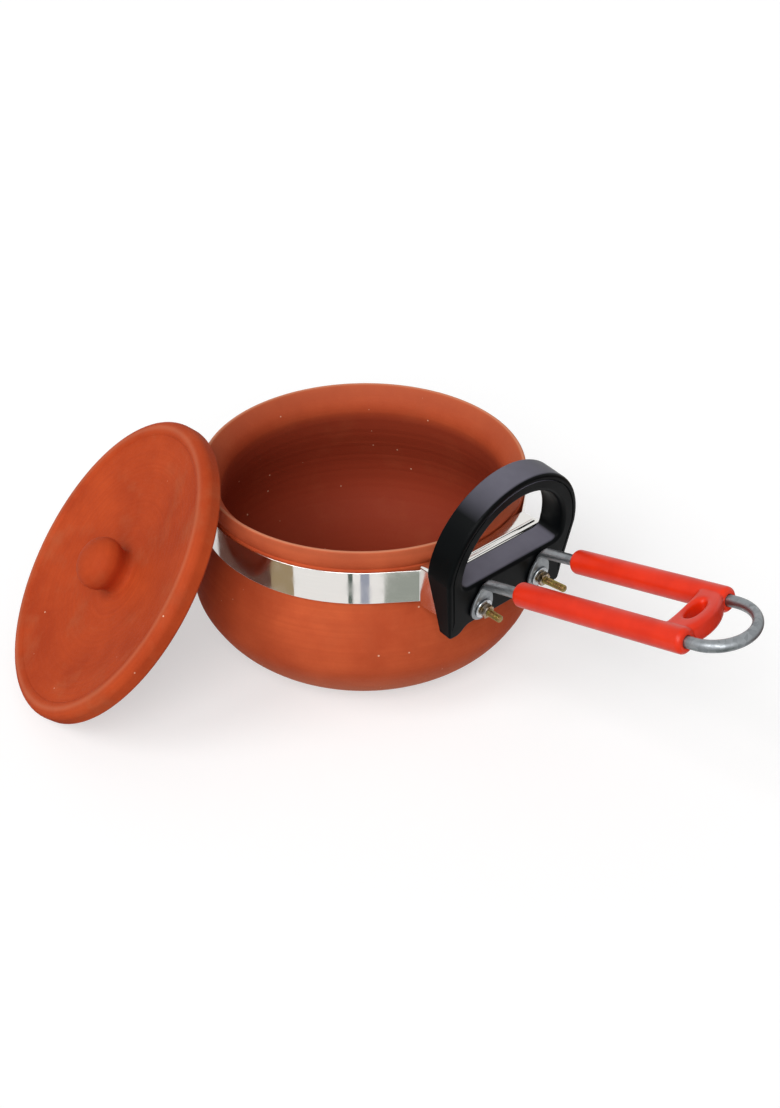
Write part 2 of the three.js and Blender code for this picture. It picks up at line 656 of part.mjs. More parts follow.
function gripSleeve() {
  const legs = [-LEG_HALF_SPACING, LEG_HALF_SPACING];
  let grip = bridge();
  for (const y of legs) {
    grip = grip.add(sleeve(y));
  }
  for (const y of legs) {
    const boreEnd = sleeveEnd(y) + BRIDGE_BULGE + CUT_PAST;
    const bore = barAlongX(WIRE_RADIUS + SEAT_GAP, GRIP_START - CUT_PAST, boreEnd, y, WIRE_SIDES);
    grip = grip.subtract(toSolid(bore));
  }
  const frame = legFrame();
  frame.add(piece('grip_sleeve', toGeometry(grip), 0xe8371f, 0.45, 0));
  return frame;
}

// Lid profile from the top of the knob over the rim to the underside, radius first and height second.
function lidProfile() {
  const top = at(0, KNOB_TOP);
  const widest = at(KNOB_RADIUS, KNOB_MIDDLE);
  const neck = at(KNOB_NECK_RADIUS, KNOB_NECK_RISE - LID_DISH);
  const dish = at(KNOB_NECK_RADIUS + KNOB_FILLET, -LID_DISH);
  const crease = at(LID_RADIUS - LID_RIM_WIDTH, LID_RIM_HEIGHT - LID_CREASE_DEPTH);
  const crest = at(LID_RADIUS - LID_CREST_INSET, LID_RIM_HEIGHT);
  const edge = at(LID_RADIUS, 0);
  const edgeFoot = at(LID_RADIUS, -LID_EDGE_DROP);
  const under = at(LID_RADIUS - LID_EDGE_ROUND, -LID_EDGE_DROP - LID_EDGE_ROUND);
  const recess = LID_RECESS - LID_UNDER;
  const footInner = LID_FOOT_RADIUS - LID_FOOT_WIDTH;
  return [
    top,
    ...sweep(top, OUT, widest, DOWN, 5, 0.48, 0.34),
    ...sweep(widest, DOWN, neck, DOWN, 3),
    ...sweep(neck, DOWN, dish, OUT, 2),
    ...sweep(dish, OUT, crease, 20, 6),
    ...sweep(crease, 37, crest, OUT, 2),
    ...sweep(crest, OUT, edge, DOWN, 4),
    edgeFoot,
    ...sweep(edgeFoot, DOWN, under, 207, 2),
    at(LID_FOOT_RADIUS, LID_FOOT_ROUND - LID_UNDER),
    at(LID_FOOT_RADIUS - LID_EDGE_ROUND, -LID_UNDER),
    at(footInner, -LID_UNDER),
    at(footInner - LID_RECESS, recess),
    at(0, recess),
  ];
}

// Distances out at which a line of points crosses a level.
function crossings(line, level) {
  const found = [];
  for (let i = 0; i + 1 < line.length; i++) {
    const [a, b] = [line[i], line[i + 1]];
    if ((a.y - level) * (b.y - level) <= 0 && a.y !== b.y) {
      found.push(a.x + (b.x - a.x) * (level - a.y) / (b.y - a.y));
    }
  }
  return found;
}

// Where the lid's middle stands, out from the pot axis and up, when it rests on the floor and on the pot.
function lidPlace(profile) {
  const out = at(Math.sin(LID_LEAN), Math.cos(LID_LEAN));
  const down = at(Math.cos(LID_LEAN), -Math.sin(LID_LEAN));
  const half = (side) => profile.map((point) => (
    out.clone().multiplyScalar(point.y).addScaledVector(down, side * point.x)));
  const section = [...half(1), ...half(-1).reverse()];
  const height = SEAT_GAP - Math.min(...section.map((point) => point.y));
  const outside = potOutside();
  let reach = 0;
  for (let i = 1; i < LEAN_LEVELS; i++) {
    const level = POT_HEIGHT * i / LEAN_LEVELS;
    const potEdge = Math.max(...crossings(outside, level));
    const lidEdge = Math.min(...crossings(section, level - height));
    reach = Math.max(reach, potEdge - lidEdge);
  }
  return at(reach + SEAT_GAP / Math.sin(LID_LEAN), height);
}

function lid() {
  const profile = lidProfile();
  const place = lidPlace(profile);
  const leaning = piece('lid', turned([...profile].reverse(), LID_FACETS), 0xb84524, 0.88, 0);
  leaning.position.set(place.x, 0, place.y);
  leaning.rotation.y = LID_LEAN;
  const frame = new THREE.Group();
  frame.rotation.z = LID_BEARING;
  frame.add(leaning);
  return frame;
}

const pot = new THREE.Group();
pot.name = 'clay_cooking_pot';
pot.add(potBody());
pot.add(neckBand());
pot.add(handleGuard());
pot.add(sideHandle());
pot.add(fasteners());
pot.add(wireHandle());
pot.add(gripSleeve());
pot.add(lid());

export default pot;
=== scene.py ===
"""Clay cooking pot with its lid, a steel neck band, a loop handle and a wire handle with a red grip."""
import json
import math
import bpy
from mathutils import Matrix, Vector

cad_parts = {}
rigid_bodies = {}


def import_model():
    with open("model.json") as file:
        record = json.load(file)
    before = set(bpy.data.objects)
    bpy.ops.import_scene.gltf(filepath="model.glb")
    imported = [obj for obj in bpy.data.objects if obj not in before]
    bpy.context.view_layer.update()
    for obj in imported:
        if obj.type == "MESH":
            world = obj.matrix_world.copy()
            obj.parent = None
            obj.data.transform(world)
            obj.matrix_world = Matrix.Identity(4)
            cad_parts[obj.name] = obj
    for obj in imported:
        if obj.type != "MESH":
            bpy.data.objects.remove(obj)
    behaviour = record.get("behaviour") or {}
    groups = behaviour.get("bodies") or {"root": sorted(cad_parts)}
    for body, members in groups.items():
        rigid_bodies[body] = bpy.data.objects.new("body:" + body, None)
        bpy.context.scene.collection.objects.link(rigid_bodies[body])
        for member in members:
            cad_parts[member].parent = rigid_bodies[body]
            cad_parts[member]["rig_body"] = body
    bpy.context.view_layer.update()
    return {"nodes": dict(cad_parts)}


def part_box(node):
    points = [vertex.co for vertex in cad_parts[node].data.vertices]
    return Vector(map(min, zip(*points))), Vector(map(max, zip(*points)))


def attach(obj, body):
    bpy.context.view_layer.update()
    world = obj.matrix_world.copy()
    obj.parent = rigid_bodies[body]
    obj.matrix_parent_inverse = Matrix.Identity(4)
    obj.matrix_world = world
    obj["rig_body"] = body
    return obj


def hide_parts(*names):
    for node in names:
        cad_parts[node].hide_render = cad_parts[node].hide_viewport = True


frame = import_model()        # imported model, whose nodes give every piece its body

from types import SimpleNamespace

import bmesh
import bpy
import numpy as np
from mathutils import Matrix, Vector

bl_info = {
    "name": "Clay Cooking Pot",
    "version": (1, 0, 0),
    "blender": (4, 5, 0),
    "location": "3D View > Sidebar > Clay Pot",
    "description": "Builds a clay cooking pot, its lid, band and handles over the packed model",
    "category": "Add Mesh",
}

MM = 0.001
SEAT_GAP = 0.3 * MM      # between neighbouring pieces that touch
STACK_GAP = 0.2 * MM     # between lug, washer and nut
CUT_PAST = 1.0 * MM      # how far a cutting body runs past what it cuts
TURN = 2 * math.pi
WHEEL_SIDES = 256        # round the thrown pieces
DRILL_SIDES = 48         # round the drilled holes and the bolts
POLE = 0.8 * MM          # radius of the last ring round an axis
CURVE_REACH = 0.39       # how far a curve keeps its end headings, as a share of its span
CARD_STEPS = 8           # along a studio card
CARD_LIFT = 0.2 * MM     # cards above the floor

# Headings of a profile in degrees
OUT, UP, IN, DOWN = 0, 90, 180, 270


# Properties

def linear(code):
    """Linear red, green and blue of an sRGB hex colour."""
    channels = [int(code[i:i + 2], 16) / 255 for i in (1, 3, 5)]
    return [c / 12.92 if c <= 0.04045 else ((c + 0.055) / 1.055) ** 2.4 for c in channels]


def size(name, millimetres, description):
    """Length that a user can change, given in millimetres and held in metres."""
    return bpy.props.FloatProperty(
        name=name, description=description, default=millimetres * MM, min=0.0, precision=5, unit="LENGTH")


def number(name, value, description):
    """Plain number that a user can change."""
    return bpy.props.FloatProperty(name=name, description=description, default=value)


def angle(name, degrees, description):
    """Angle that a user can change, given in degrees."""
    return bpy.props.FloatProperty(
        name=name, description=description, default=math.radians(degrees), precision=4, subtype="ANGLE")


def colour(name, code, description):
    """Colour that a user can change, given as an sRGB hex value."""
    return bpy.props.FloatVectorProperty(
        name=name, description=description, default=linear(code), min=0.0, max=1.0, subtype="COLOR")


class PotSizes(bpy.types.PropertyGroup):
    """Sizes of the thrown pot."""
    height: size("Height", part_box("pot_body")[1].z / MM, "Level of the rim above the base")
    rim_radius: size("Rim radius", 90.8, "Widest radius of the rolled lip")
    belly_radius: size("Belly radius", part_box("pot_body")[1].y / MM, "Widest radius of the pot")
    belly_height: size("Belly height", 46, "Level where the belly is widest")
    base_radius: size("Base radius", 52, "Radius of the flat base")
    wall: size("Wall", 8.5, "Wall at the belly")
    floor: size("Floor", 10, "Thickness of the floor")
    floor_inset: size("Floor inset", 6, "How much smaller the flat floor is than the base")
    lip_height: size("Lip height", 12.4, "Rim above the top edge of the band")
    lip_roll: size("Lip roll", 1.2, "Radius of the rolled edge")
    neck_inset: size("Neck inset", 0.4, "How far the neck stands in from the lip")
    neck_wall: size("Neck wall", 10, "Wall at the throat")
    neck_shoulder: size("Neck shoulder", 0.5, "Straight neck above and below the band")
    groove_depth: size("Groove depth", 0.6, "Depth of the groove under the lip")
    groove_above_band: size("Groove level", 1, "Groove above the top edge of the band")
    throat_below_band: size("Throat level", 3, "Narrowest inside below the top edge of the band")
    ridge_height: size("Ridge level", 37, "Level of the soft ridge under the belly")
    ridge: size("Ridge", 0.7, "How far the soft ridge stands out")
    ridge_reach: size("Ridge reach", 10, "How far the soft ridge fades to each side")
    ring_pitch: size("Ring pitch", 6.5, "Spacing of the throwing rings")
    ring_depth: size("Ring depth", 0.07, "Depth of the throwing rings inside")


class BandSizes(bpy.types.PropertyGroup):
    """Sizes of the strip round the neck."""
    height: size("Height", 19.7, "Width of the strip")
    thickness: size("Thickness", 0.8, "Gauge of the strip")
    stand_off: size("Stand-off", 2.9, "How far the ends of the strip lift off the neck")
    tab: size("Tab", 7.5, "Length of the turned-in ends")
    bend: size("Bend", 1.6, "Size of the bend at each end")
    wave: size("Wave", 0.1, "How far the thin strip wavers")


class GuardSizes(bpy.types.PropertyGroup):
    """Sizes of the sheet box between band and loop handle."""
    half_width: size("Half width", 38.8, "Half the width of the box")
    wall: size("Wall", 1.2, "Gauge of the sheet")
    above_band: size("Above band", 3.6, "Top of the box above the band")
    below_band: size("Below band", 2.5, "Bottom of the box below the band")
    pot_gap: size("Pot gap", 1, "Clear space to the pot")
    rib_radius: size("Rib radius", 1.2, "Radius of the pressed rib")
    rib_setback: size("Rib setback", 3.6, "Rib behind the loop handle")
    fold: size("Fold", 1.5, "Outer radius of the folded edges")


class LoopSizes(bpy.types.PropertyGroup):
    """Sizes of the moulded loop handle."""
    stand_off: size("Stand-off", 7.1, "Back of the loop from the neck")
    above_band_bottom: size("Bolt level", 6, "Bolts above the bottom edge of the band")
    lean: angle("Lean", 7.3, "Outward lean of the loop")
    depth: size("Depth", 16.3, "Front to back")
    arch_radius: size("Arch radius", 47.2, "Outer radius of the arch")
    arch_above_bar: size("Arch level", 7, "Centre of the arch above the bar")
    limb_width: size("Limb width", 10.7, "Width of the arch")
    bar_top: size("Bar top", 17.5, "Top of the bar above the bolts")
    bar_drop: size("Bar drop", 9.5, "Underside of the bar below the bolts")
    window_corner: size("Window corner", 6, "Corner size of the finger window")
    foot_inset: size("Foot inset", 5.6, "How far the feet stand in from the arch")
    foot_width: size("Foot width", 8.6, "Width of each foot")
    foot_drop: size("Foot drop", 14, "Bottom of the feet below the bolts")
    foot_corner: size("Foot corner", 3, "Corner size of the feet")
    heel_above_bar: size("Heel level", 4.5, "Level above the bar where the heel starts")
    heel_cut: size("Heel cut", 9, "How much thinner the feet are")
    front_round: size("Front edge", 2, "Rounding of the outer front edge")
    window_round: size("Window edge", 2.6, "Rounding of the front edge of the window")
    back_round: size("Back edge", 1.2, "Rounding of the back edges")
    groove_inset: size("Groove inset", 2.9, "Groove inside the front edge")
    groove_width: size("Groove width", 0.9, "Width of the groove")
    groove_depth: size("Groove depth", 0.7, "Depth of the groove")


class FastenerSizes(bpy.types.PropertyGroup):
    """Sizes of the bolts, washers and nuts."""
    bolt_radius: size("Bolt radius", 2, "Outer radius of the thread")
    pitch: size("Pitch", 0.7, "Pitch of the thread")
    spacing: size("Spacing", 42.6, "Distance between the two bolts")
    reach_near: size("Near reach", 8.5, "Near bolt past its nut")
    reach_far: size("Far reach", 14, "Far bolt past its nut")
    tilt_near: angle("Near tilt", 7, "How far the end of the near bolt is knocked upward")
    tilt_far: angle("Far tilt", 13, "How far the end of the far bolt is knocked upward")
    head: size("Head", 2.8, "Height of the bolt head")
    hex_radius: size("Hexagon radius", 4.04, "Centre to corner of nut and head")
    nut_height: size("Nut height", 3.2, "Height of the nut")
    washer_radius: size("Washer radius", 5.5, "Outer radius of the washer")
    washer_thickness: size("Washer", 1, "Thickness of the washer")


class WireSizes(bpy.types.PropertyGroup):
    """Sizes of the bent wire handle."""
    radius: size("Radius", 3, "Radius of the wire")
    rise: angle("Rise", 15.1, "Upward slope of the legs")
    bend: size("Bend", 6, "Radius of the bend at each lug")
    spread: size("Spread", 0.6, "How much wider the pressed neck of a lug is than the wire")
    leg_above_bolt: size("Leg level", 15.5, "Legs above the bolts")
    leg_past_grip: size("Past grip", 6.6, "Straight wire past the grip")
    lug_thickness: size("Lug thickness", 2, "Thickness of the flattened ends")
    lug_radius: size("Lug radius", 7.6, "Radius of the flattened ends")


class GripSizes(bpy.types.PropertyGroup):
    """Sizes of the plastic grip."""
    radius: size("Radius", 6.5, "Radius of each sleeve")
    start: size("Start", 24.7, "Start of the sleeves along the legs")
    length: size("Length", 101, "Length of the sleeves")
    chamfer: size("Chamfer", 1.6, "Chamfer of the sleeve ends")
    web: size("Web", 5, "Bridge inside the oval hole")
    hollow: size("Hollow", 1.5, "How far the inner edge of the bridge curves in")
    bulge: size("Bulge", 5.6, "How far the outer edge of the bridge bulges")
    thickness: size("Thickness", 10.6, "Thickness of the bridge")
    rounding: size("Rounding", 2.6, "Rounding of the bridge edges")
    oval_length: size("Oval length", 18.6, "Length of the hole")
    oval_width: size("Oval width", 7, "Width of the hole")
    oval_setback: size("Oval setback", 5, "Middle of the hole from the sleeve ends")
    past_bridge: size("Past bridge", 2.4, "Sleeves past the bridge")
    skew: number("Skew", 0.22, "How far the outer end is set askew, per distance across")
    grain: size("Mesh step", 0.5, "Step of the moulded skin")


class LidSizes(bpy.types.PropertyGroup):
    """Sizes and place of the thrown lid."""
    radius: size("Radius", 88.5, "Radius of the edge")
    reach: size("Reach", 145.6, "Middle of the lid from the axis of the pot")
    level: size("Level", 70.818, "Middle of the lid above the floor")
    lean: angle("Lean", 49.8, "Tilt of the lid")
    bearing: angle("Bearing", -113.9, "Side of the pot on which the lid leans")
    rim_height: size("Rim height", 5.5, "Crest of the rim above the edge")
    rim_width: size("Rim width", 9.5, "Crease from the edge")
    crest_inset: size("Crest inset", 5.2, "Crest of the rim from the edge")
    crease_depth: size("Crease depth", 1.7, "Crease below the crest")
    edge_drop: size("Edge", 4, "Height of the upright edge")
    edge_round: size("Edge rounding", 2.2, "Rounding under the edge")
    dish: size("Dish", 5.5, "Depth of the dish round the knob")
    under: size("Underside", 16.2, "Foot ring below the edge")
    foot_radius: size("Foot radius", 66, "Radius of the foot ring")
    foot_width: size("Foot width", 8, "Width of the foot ring")
    foot_round: size("Foot rounding", 0.6, "Rounding of the foot ring")
    recess: size("Recess", 3, "Recess inside the foot ring")
    knob_radius: size("Knob radius", 15, "Widest radius of the knob")
    knob_neck_radius: size("Knob neck", 12, "Radius under the knob")
    knob_top: size("Knob top", 19, "Top of the knob above the edge")
    knob_middle: size("Knob middle", 7.5, "Widest level of the knob above the edge")
    knob_neck_rise: size("Neck rise", 3, "Neck above the dish")
    knob_fillet: size("Knob fillet", 2.5, "Fillet at the foot of the knob")
    ring_pitch: size("Ring pitch", 4.2, "Spacing of the turning marks")
    ring_depth: size("Ring depth", 0.09, "Depth of the turning marks")


class FinishColours(bpy.types.PropertyGroup):
    """Colours of the finishes."""
    clay_light: colour("Clay, light", "#C65A33", "Fired clay where it is rubbed smooth")
    clay_deep: colour("Clay, deep", "#AE4726", "Fired clay where it is denser")
    # Inside the pot and under the lid the clay is darker: partly its own tone, partly painted shade.
    clay_inside_and_shade: colour("Clay, inside", "#8E3620", "Fired clay inside the pot")
    # Paler clay where worn, and the thin pale line along the pot's rim, which is a painted highlight.
    clay_worn_and_highlight: colour("Clay, rubbed", "#CB8464", "Fired clay where it is worn pale")
    lid_light: colour("Lid, light", "#BC4A21", "Fired clay of the lid where it is rubbed smooth")
    lid_deep: colour("Lid, deep", "#A33A18", "Fired clay of the lid where it is denser")
    clay_bloom: colour("Clay bloom", "#AE5E3C", "Pale dust on the clay")
    clay_speck: colour("Clay speck", "#E0B79C", "Grains of sand in the clay")
    steel: colour("Steel", "#E4E2DE", "Polished stainless steel")
    phenolic: colour("Phenolic", "#07090A", "Moulded phenolic")
    # Dust and painted sheen: this pale grey on upward faces is partly dust and partly a painted highlight.
    phenolic_dust_and_sheen: colour("Phenolic, dusty", "#74727E", "Phenolic under kitchen dust")
    zinc_light: colour("Zinc, light", "#93979A", "Bright spangles of the galvanised wire")
    zinc_dark: colour("Zinc, dark", "#606468", "Dull spangles of the galvanised wire")
    plate: colour("Zinc plate", "#C9CDD0", "Bright zinc plate of the washers")
    passivate: colour("Passivate", "#94774F", "Yellow passivate of bolts and nuts")
    passivate_green: colour("Passivate, green", "#8E8848", "Green tint in the passivate")
    grip: colour("Grip", "#E2300D", "Red soft plastic")
    grip_deep: colour("Grip, deep", "#C42209", "Red soft plastic where it is thicker")


class StageSettings(bpy.types.PropertyGroup):
    """Place of the camera."""
    azimuth: angle("Azimuth", 47.3736, "Camera round the pot")
    elevation: angle("Elevation", 34.4662, "Camera above the floor")
    roll: angle("Roll", -0.1248, "Camera about its own axis")
    distance: size("Distance", 983.927, "Camera from the point that it looks at")
    aim_right: size("Aim right", 14.744, "Point that it looks at, right of the axis of the pot")
    aim_up: size("Aim up", 48.069, "Point that it looks at, above the floor")


class ClayPotSettings(bpy.types.PropertyGroup):
    """All settings of the clay pot."""
    pot: bpy.props.PointerProperty(type=PotSizes, name="Pot")
    band: bpy.props.PointerProperty(type=BandSizes, name="Band")
    guard: bpy.props.PointerProperty(type=GuardSizes, name="Guard")
    loop: bpy.props.PointerProperty(type=LoopSizes, name="Loop handle")
    bolts: bpy.props.PointerProperty(type=FastenerSizes, name="Fasteners")
    wire: bpy.props.PointerProperty(type=WireSizes, name="Wire handle")
    grip: bpy.props.PointerProperty(type=GripSizes, name="Grip")
    lid: bpy.props.PointerProperty(type=LidSizes, name="Lid")
    finish: bpy.props.PointerProperty(type=FinishColours, name="Colours")
    stage: bpy.props.PointerProperty(type=StageSettings, name="Stage")


# Levels and frames that follow from the sizes

def plan(sizes):
    """Radii, levels and frames that several pieces share."""
    pot, band, guard, loop = sizes.pot, sizes.band, sizes.guard, sizes.loop
    bolts, wire, grip, lid = sizes.bolts, sizes.wire, sizes.grip, sizes.lid
    made = SimpleNamespace()
    made.neck = pot.rim_radius - pot.neck_inset
    made.throat = made.neck - pot.neck_wall
    made.band_top = pot.height - pot.lip_height
    made.band_bottom = made.band_top - band.height
    made.band_radius = made.neck + SEAT_GAP + band.thickness / 2
    made.band_y = guard.half_width - guard.wall - SEAT_GAP - band.thickness / 2
    made.band_x = math.sqrt((made.band_radius + band.stand_off) ** 2 - made.band_y ** 2)
    made.guard_back = made.band_x + band.thickness / 2 + SEAT_GAP
    made.guard_bottom = made.band_bottom - guard.below_band
    made.guard_top = made.band_top + guard.above_band
    corner = Vector((made.neck + loop.stand_off, 0, made.band_bottom + loop.above_band_bottom))
    made.handle = Matrix.Translation(corner) @ Matrix.Rotation(loop.lean, 4, "Y")
    made.arch_centre = loop.bar_top + loop.arch_above_bar
    made.heel_top = loop.bar_top + loop.heel_above_bar
    made.heel_slope = loop.heel_cut / (made.heel_top + loop.foot_drop)
    made.hole = bolts.bolt_radius + SEAT_GAP
    made.lug_back = loop.depth + SEAT_GAP
    made.lug_middle = made.lug_back + wire.lug_thickness / 2
    made.washer_back = made.lug_back + wire.lug_thickness + STACK_GAP
    made.nut_back = made.washer_back + bolts.washer_thickness + STACK_GAP
    made.nut_front = made.nut_back + bolts.nut_height
    made.leg_y = bolts.spacing / 2
    made.legs = (-made.leg_y, made.leg_y)
    start = made.handle @ Vector((made.lug_middle, 0, wire.leg_above_bolt))
    made.leg = Matrix.Translation(start) @ Matrix.Rotation(-wire.rise, 4, "Y")
    made.grip_end = grip.start + grip.length
    made.leg_length = made.grip_end + wire.leg_past_grip
    made.lid = (Matrix.Rotation(lid.bearing, 4, "Z") @ Matrix.Translation((lid.reach, 0, lid.level))
                @ Matrix.Rotation(lid.lean, 4, "Y"))
    return made


# Outlines

def heading(degrees):
    """Unit step along a heading of a flat outline."""
    return np.array([math.cos(math.radians(degrees)), math.sin(math.radians(degrees))])


def sweep(start, start_heading, end, end_heading, steps, leave=CURVE_REACH, arrive=CURVE_REACH):
    """Points of a curve after its first one, from one point and heading to another."""
    start, end = np.array(start), np.array(end)
    span = np.linalg.norm(end - start)
    pull = start + heading(start_heading) * leave * span
    push = end - heading(end_heading) * arrive * span
    t = np.linspace(0, 1, steps + 1)[1:, None]
    return (1 - t) ** 3 * start + 3 * (1 - t) ** 2 * t * pull + 3 * (1 - t) * t ** 2 * push + t ** 3 * end


def corner_curve(start, corner, end, steps):
    """Points after the first of a curve that rounds a corner."""
    start, corner, end = np.array(start), np.array(corner), np.array(end)
    t = np.linspace(0, 1, steps + 1)[1:, None]
    return (1 - t) ** 2 * start + 2 * (1 - t) * t * corner + t ** 2 * end


def straight(start, end, steps):
    """Points of a line after its first one."""
    t = np.linspace(0, 1, steps + 1)[1:, None]
    return (1 - t) * np.array(start) + t * np.array(end)


def arc(centre, radius, first, last, steps):
    """Points of a circle arc between two headings, both ends included."""
    angles = np.radians(np.linspace(first, last, steps + 1))
    return np.array(centre) + radius * np.stack([np.cos(angles), np.sin(angles)], 1)


def outward(line, closed):
    """Unit normals to the right of a line of points."""
    if closed:
        along = np.roll(line, -1, 0) - np.roll(line, 1, 0)
    else:
        along = np.gradient(line, axis=0)
    normals = np.stack([along[:, 1], -along[:, 0]], 1)
    return normals / np.linalg.norm(normals, axis=1, keepdims=True)


def smooth_step(low, high, value):
    """Soft rise from 0 at the low value to 1 at the high one."""
    t = np.clip((value - low) / (high - low), 0, 1)
    return t * t * (3 - 2 * t)


# Meshes

def skin(rings, looped=False):
    """Points and faces over a row of rings; a looped row joins up, any other closes with fans."""
    rings = np.asarray(rings)
    rows, count = rings.shape[:2]
    points = rings.reshape(-1, 3)
    grid = np.arange(rows * count).reshape(rows, count)
    if looped:
        grid = np.vstack([grid, grid[:1]])
    low, high = grid[:-1], grid[1:]
    faces = np.stack([low, np.roll(low, -1, 1), np.roll(high, -1, 1), high], -1).reshape(-1, 4).tolist()
    if not looped:
        middles = np.stack([rings[0].mean(0), rings[-1].mean(0)])
        for end, ring in enumerate((grid[0], grid[-1])):
            fan = np.stack([ring, np.roll(ring, -1), np.full(count, len(points) + end)], 1)
            faces += fan.tolist()
        points = np.vstack([points, middles])
    return points, faces


def solid(name, points, faces):
    """Object made of points and faces, with the faces turned outward."""
    mesh = bpy.data.meshes.new(name)
    mesh.from_pydata(np.asarray(points).tolist(), [], faces)
    body = bmesh.new()
    body.from_mesh(mesh)
    bmesh.ops.recalc_face_normals(body, faces=body.faces)
    body.to_mesh(mesh)
    body.free()
    made = bpy.data.objects.new(name, mesh)
    bpy.context.scene.collection.objects.link(made)
    return made


def settle_modifiers(piece):
    """Turns the modifiers of a piece into its mesh."""
    graph = bpy.context.evaluated_depsgraph_get()
    mesh = bpy.data.meshes.new_from_object(piece.evaluated_get(graph))
    piece.modifiers.clear()
    piece.data = mesh


def combine(piece, other, operation):
    """Joins another solid to a piece, or cuts it away."""
    modifier = piece.modifiers.new("combine", "BOOLEAN")
    modifier.object = other
    modifier.operation = operation
    modifier.solver = "EXACT"
    settle_modifiers(piece)
    bpy.data.objects.remove(other)


def place_points(points, place):
    """Points moved by a matrix."""
    matrix = np.array(place)
    return np.asarray(points) @ matrix[:3, :3].T + matrix[:3, 3]


def round_turns(sides):
    """Angles of the points of a ring."""
    return TURN * np.arange(sides) / sides


def rod(radius, start, end, y):
    """Rings of a round bar along X, for drilling."""
    turns = round_turns(DRILL_SIDES)
    circle = np.stack([np.zeros(DRILL_SIDES), y + radius * np.cos(turns), radius * np.sin(turns)], 1)
    return [circle + np.array([x, 0, 0]) for x in (start, end)]


def dress(piece, place, node, material, crease=35):
    """Keeps a piece's own coordinates for textures, moves it to its place and lets it stand for a node."""
    mesh = piece.data
    own = np.empty(len(mesh.vertices) * 3, np.float32)
    mesh.vertices.foreach_get("co", own)
    mesh.attributes.new("own_place", "FLOAT_VECTOR", "POINT").data.foreach_set("vector", own)
    mesh.transform(place)
    mesh.materials.clear()
    mesh.materials.append(material)
    mesh.polygons.foreach_set("use_smooth", np.ones(len(mesh.polygons), bool))
    mesh.set_sharp_from_angle(angle=math.radians(crease))
    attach(piece, frame["nodes"][node]["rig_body"])
    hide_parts(node)


def even_normals(piece):
    """Keeps the shading of flat faces flat beside rounded edges."""
    even = piece.modifiers.new("even_normals", "WEIGHTED_NORMAL")
    even.keep_sharp = True


def mark(piece, name, values):
    """Stores one number for each point of a piece for its material to read."""
    attribute = piece.data.attributes.new(name, "FLOAT", "POINT")
    attribute.data.foreach_set("value", np.asarray(values, np.float32))


# Materials

# Sockets of a colour mix, which have one name for several kinds of value
SHARE, FROM, TO, MIXED = 0, 6, 7, 2


def add(tree, kind, inputs=None, **settings):
    """Adds a node with its settings, and sets or links its inputs."""
    node = tree.nodes.new(kind)
    for key, value in settings.items():
        setattr(node, key, value)
    for key, value in (inputs or {}).items():
        if isinstance(value, bpy.types.NodeSocket):
            tree.links.new(value, node.inputs[key])
        else:
            node.inputs[key].default_value = value
    return node


def new_material(name):
    """Empty material and its node tree."""
    made = bpy.data.materials.new(name)
    made.use_nodes = True
    made.node_tree.nodes.clear()
    return made, made.node_tree


def piece_material(name):
    """Empty material of a piece, its node tree, and the piece's own coordinates."""
    made, tree = new_material(name)
    own = add(tree, "ShaderNodeAttribute", attribute_name="own_place")
    return made, tree, own.outputs["Vector"]


def rgba(values):
    """Colour of a node socket."""
    return (*values, 1.0)


def per_metre(millimetres):
    """Texture scale at which one cell has a real size."""
    return 1 / (millimetres * MM)


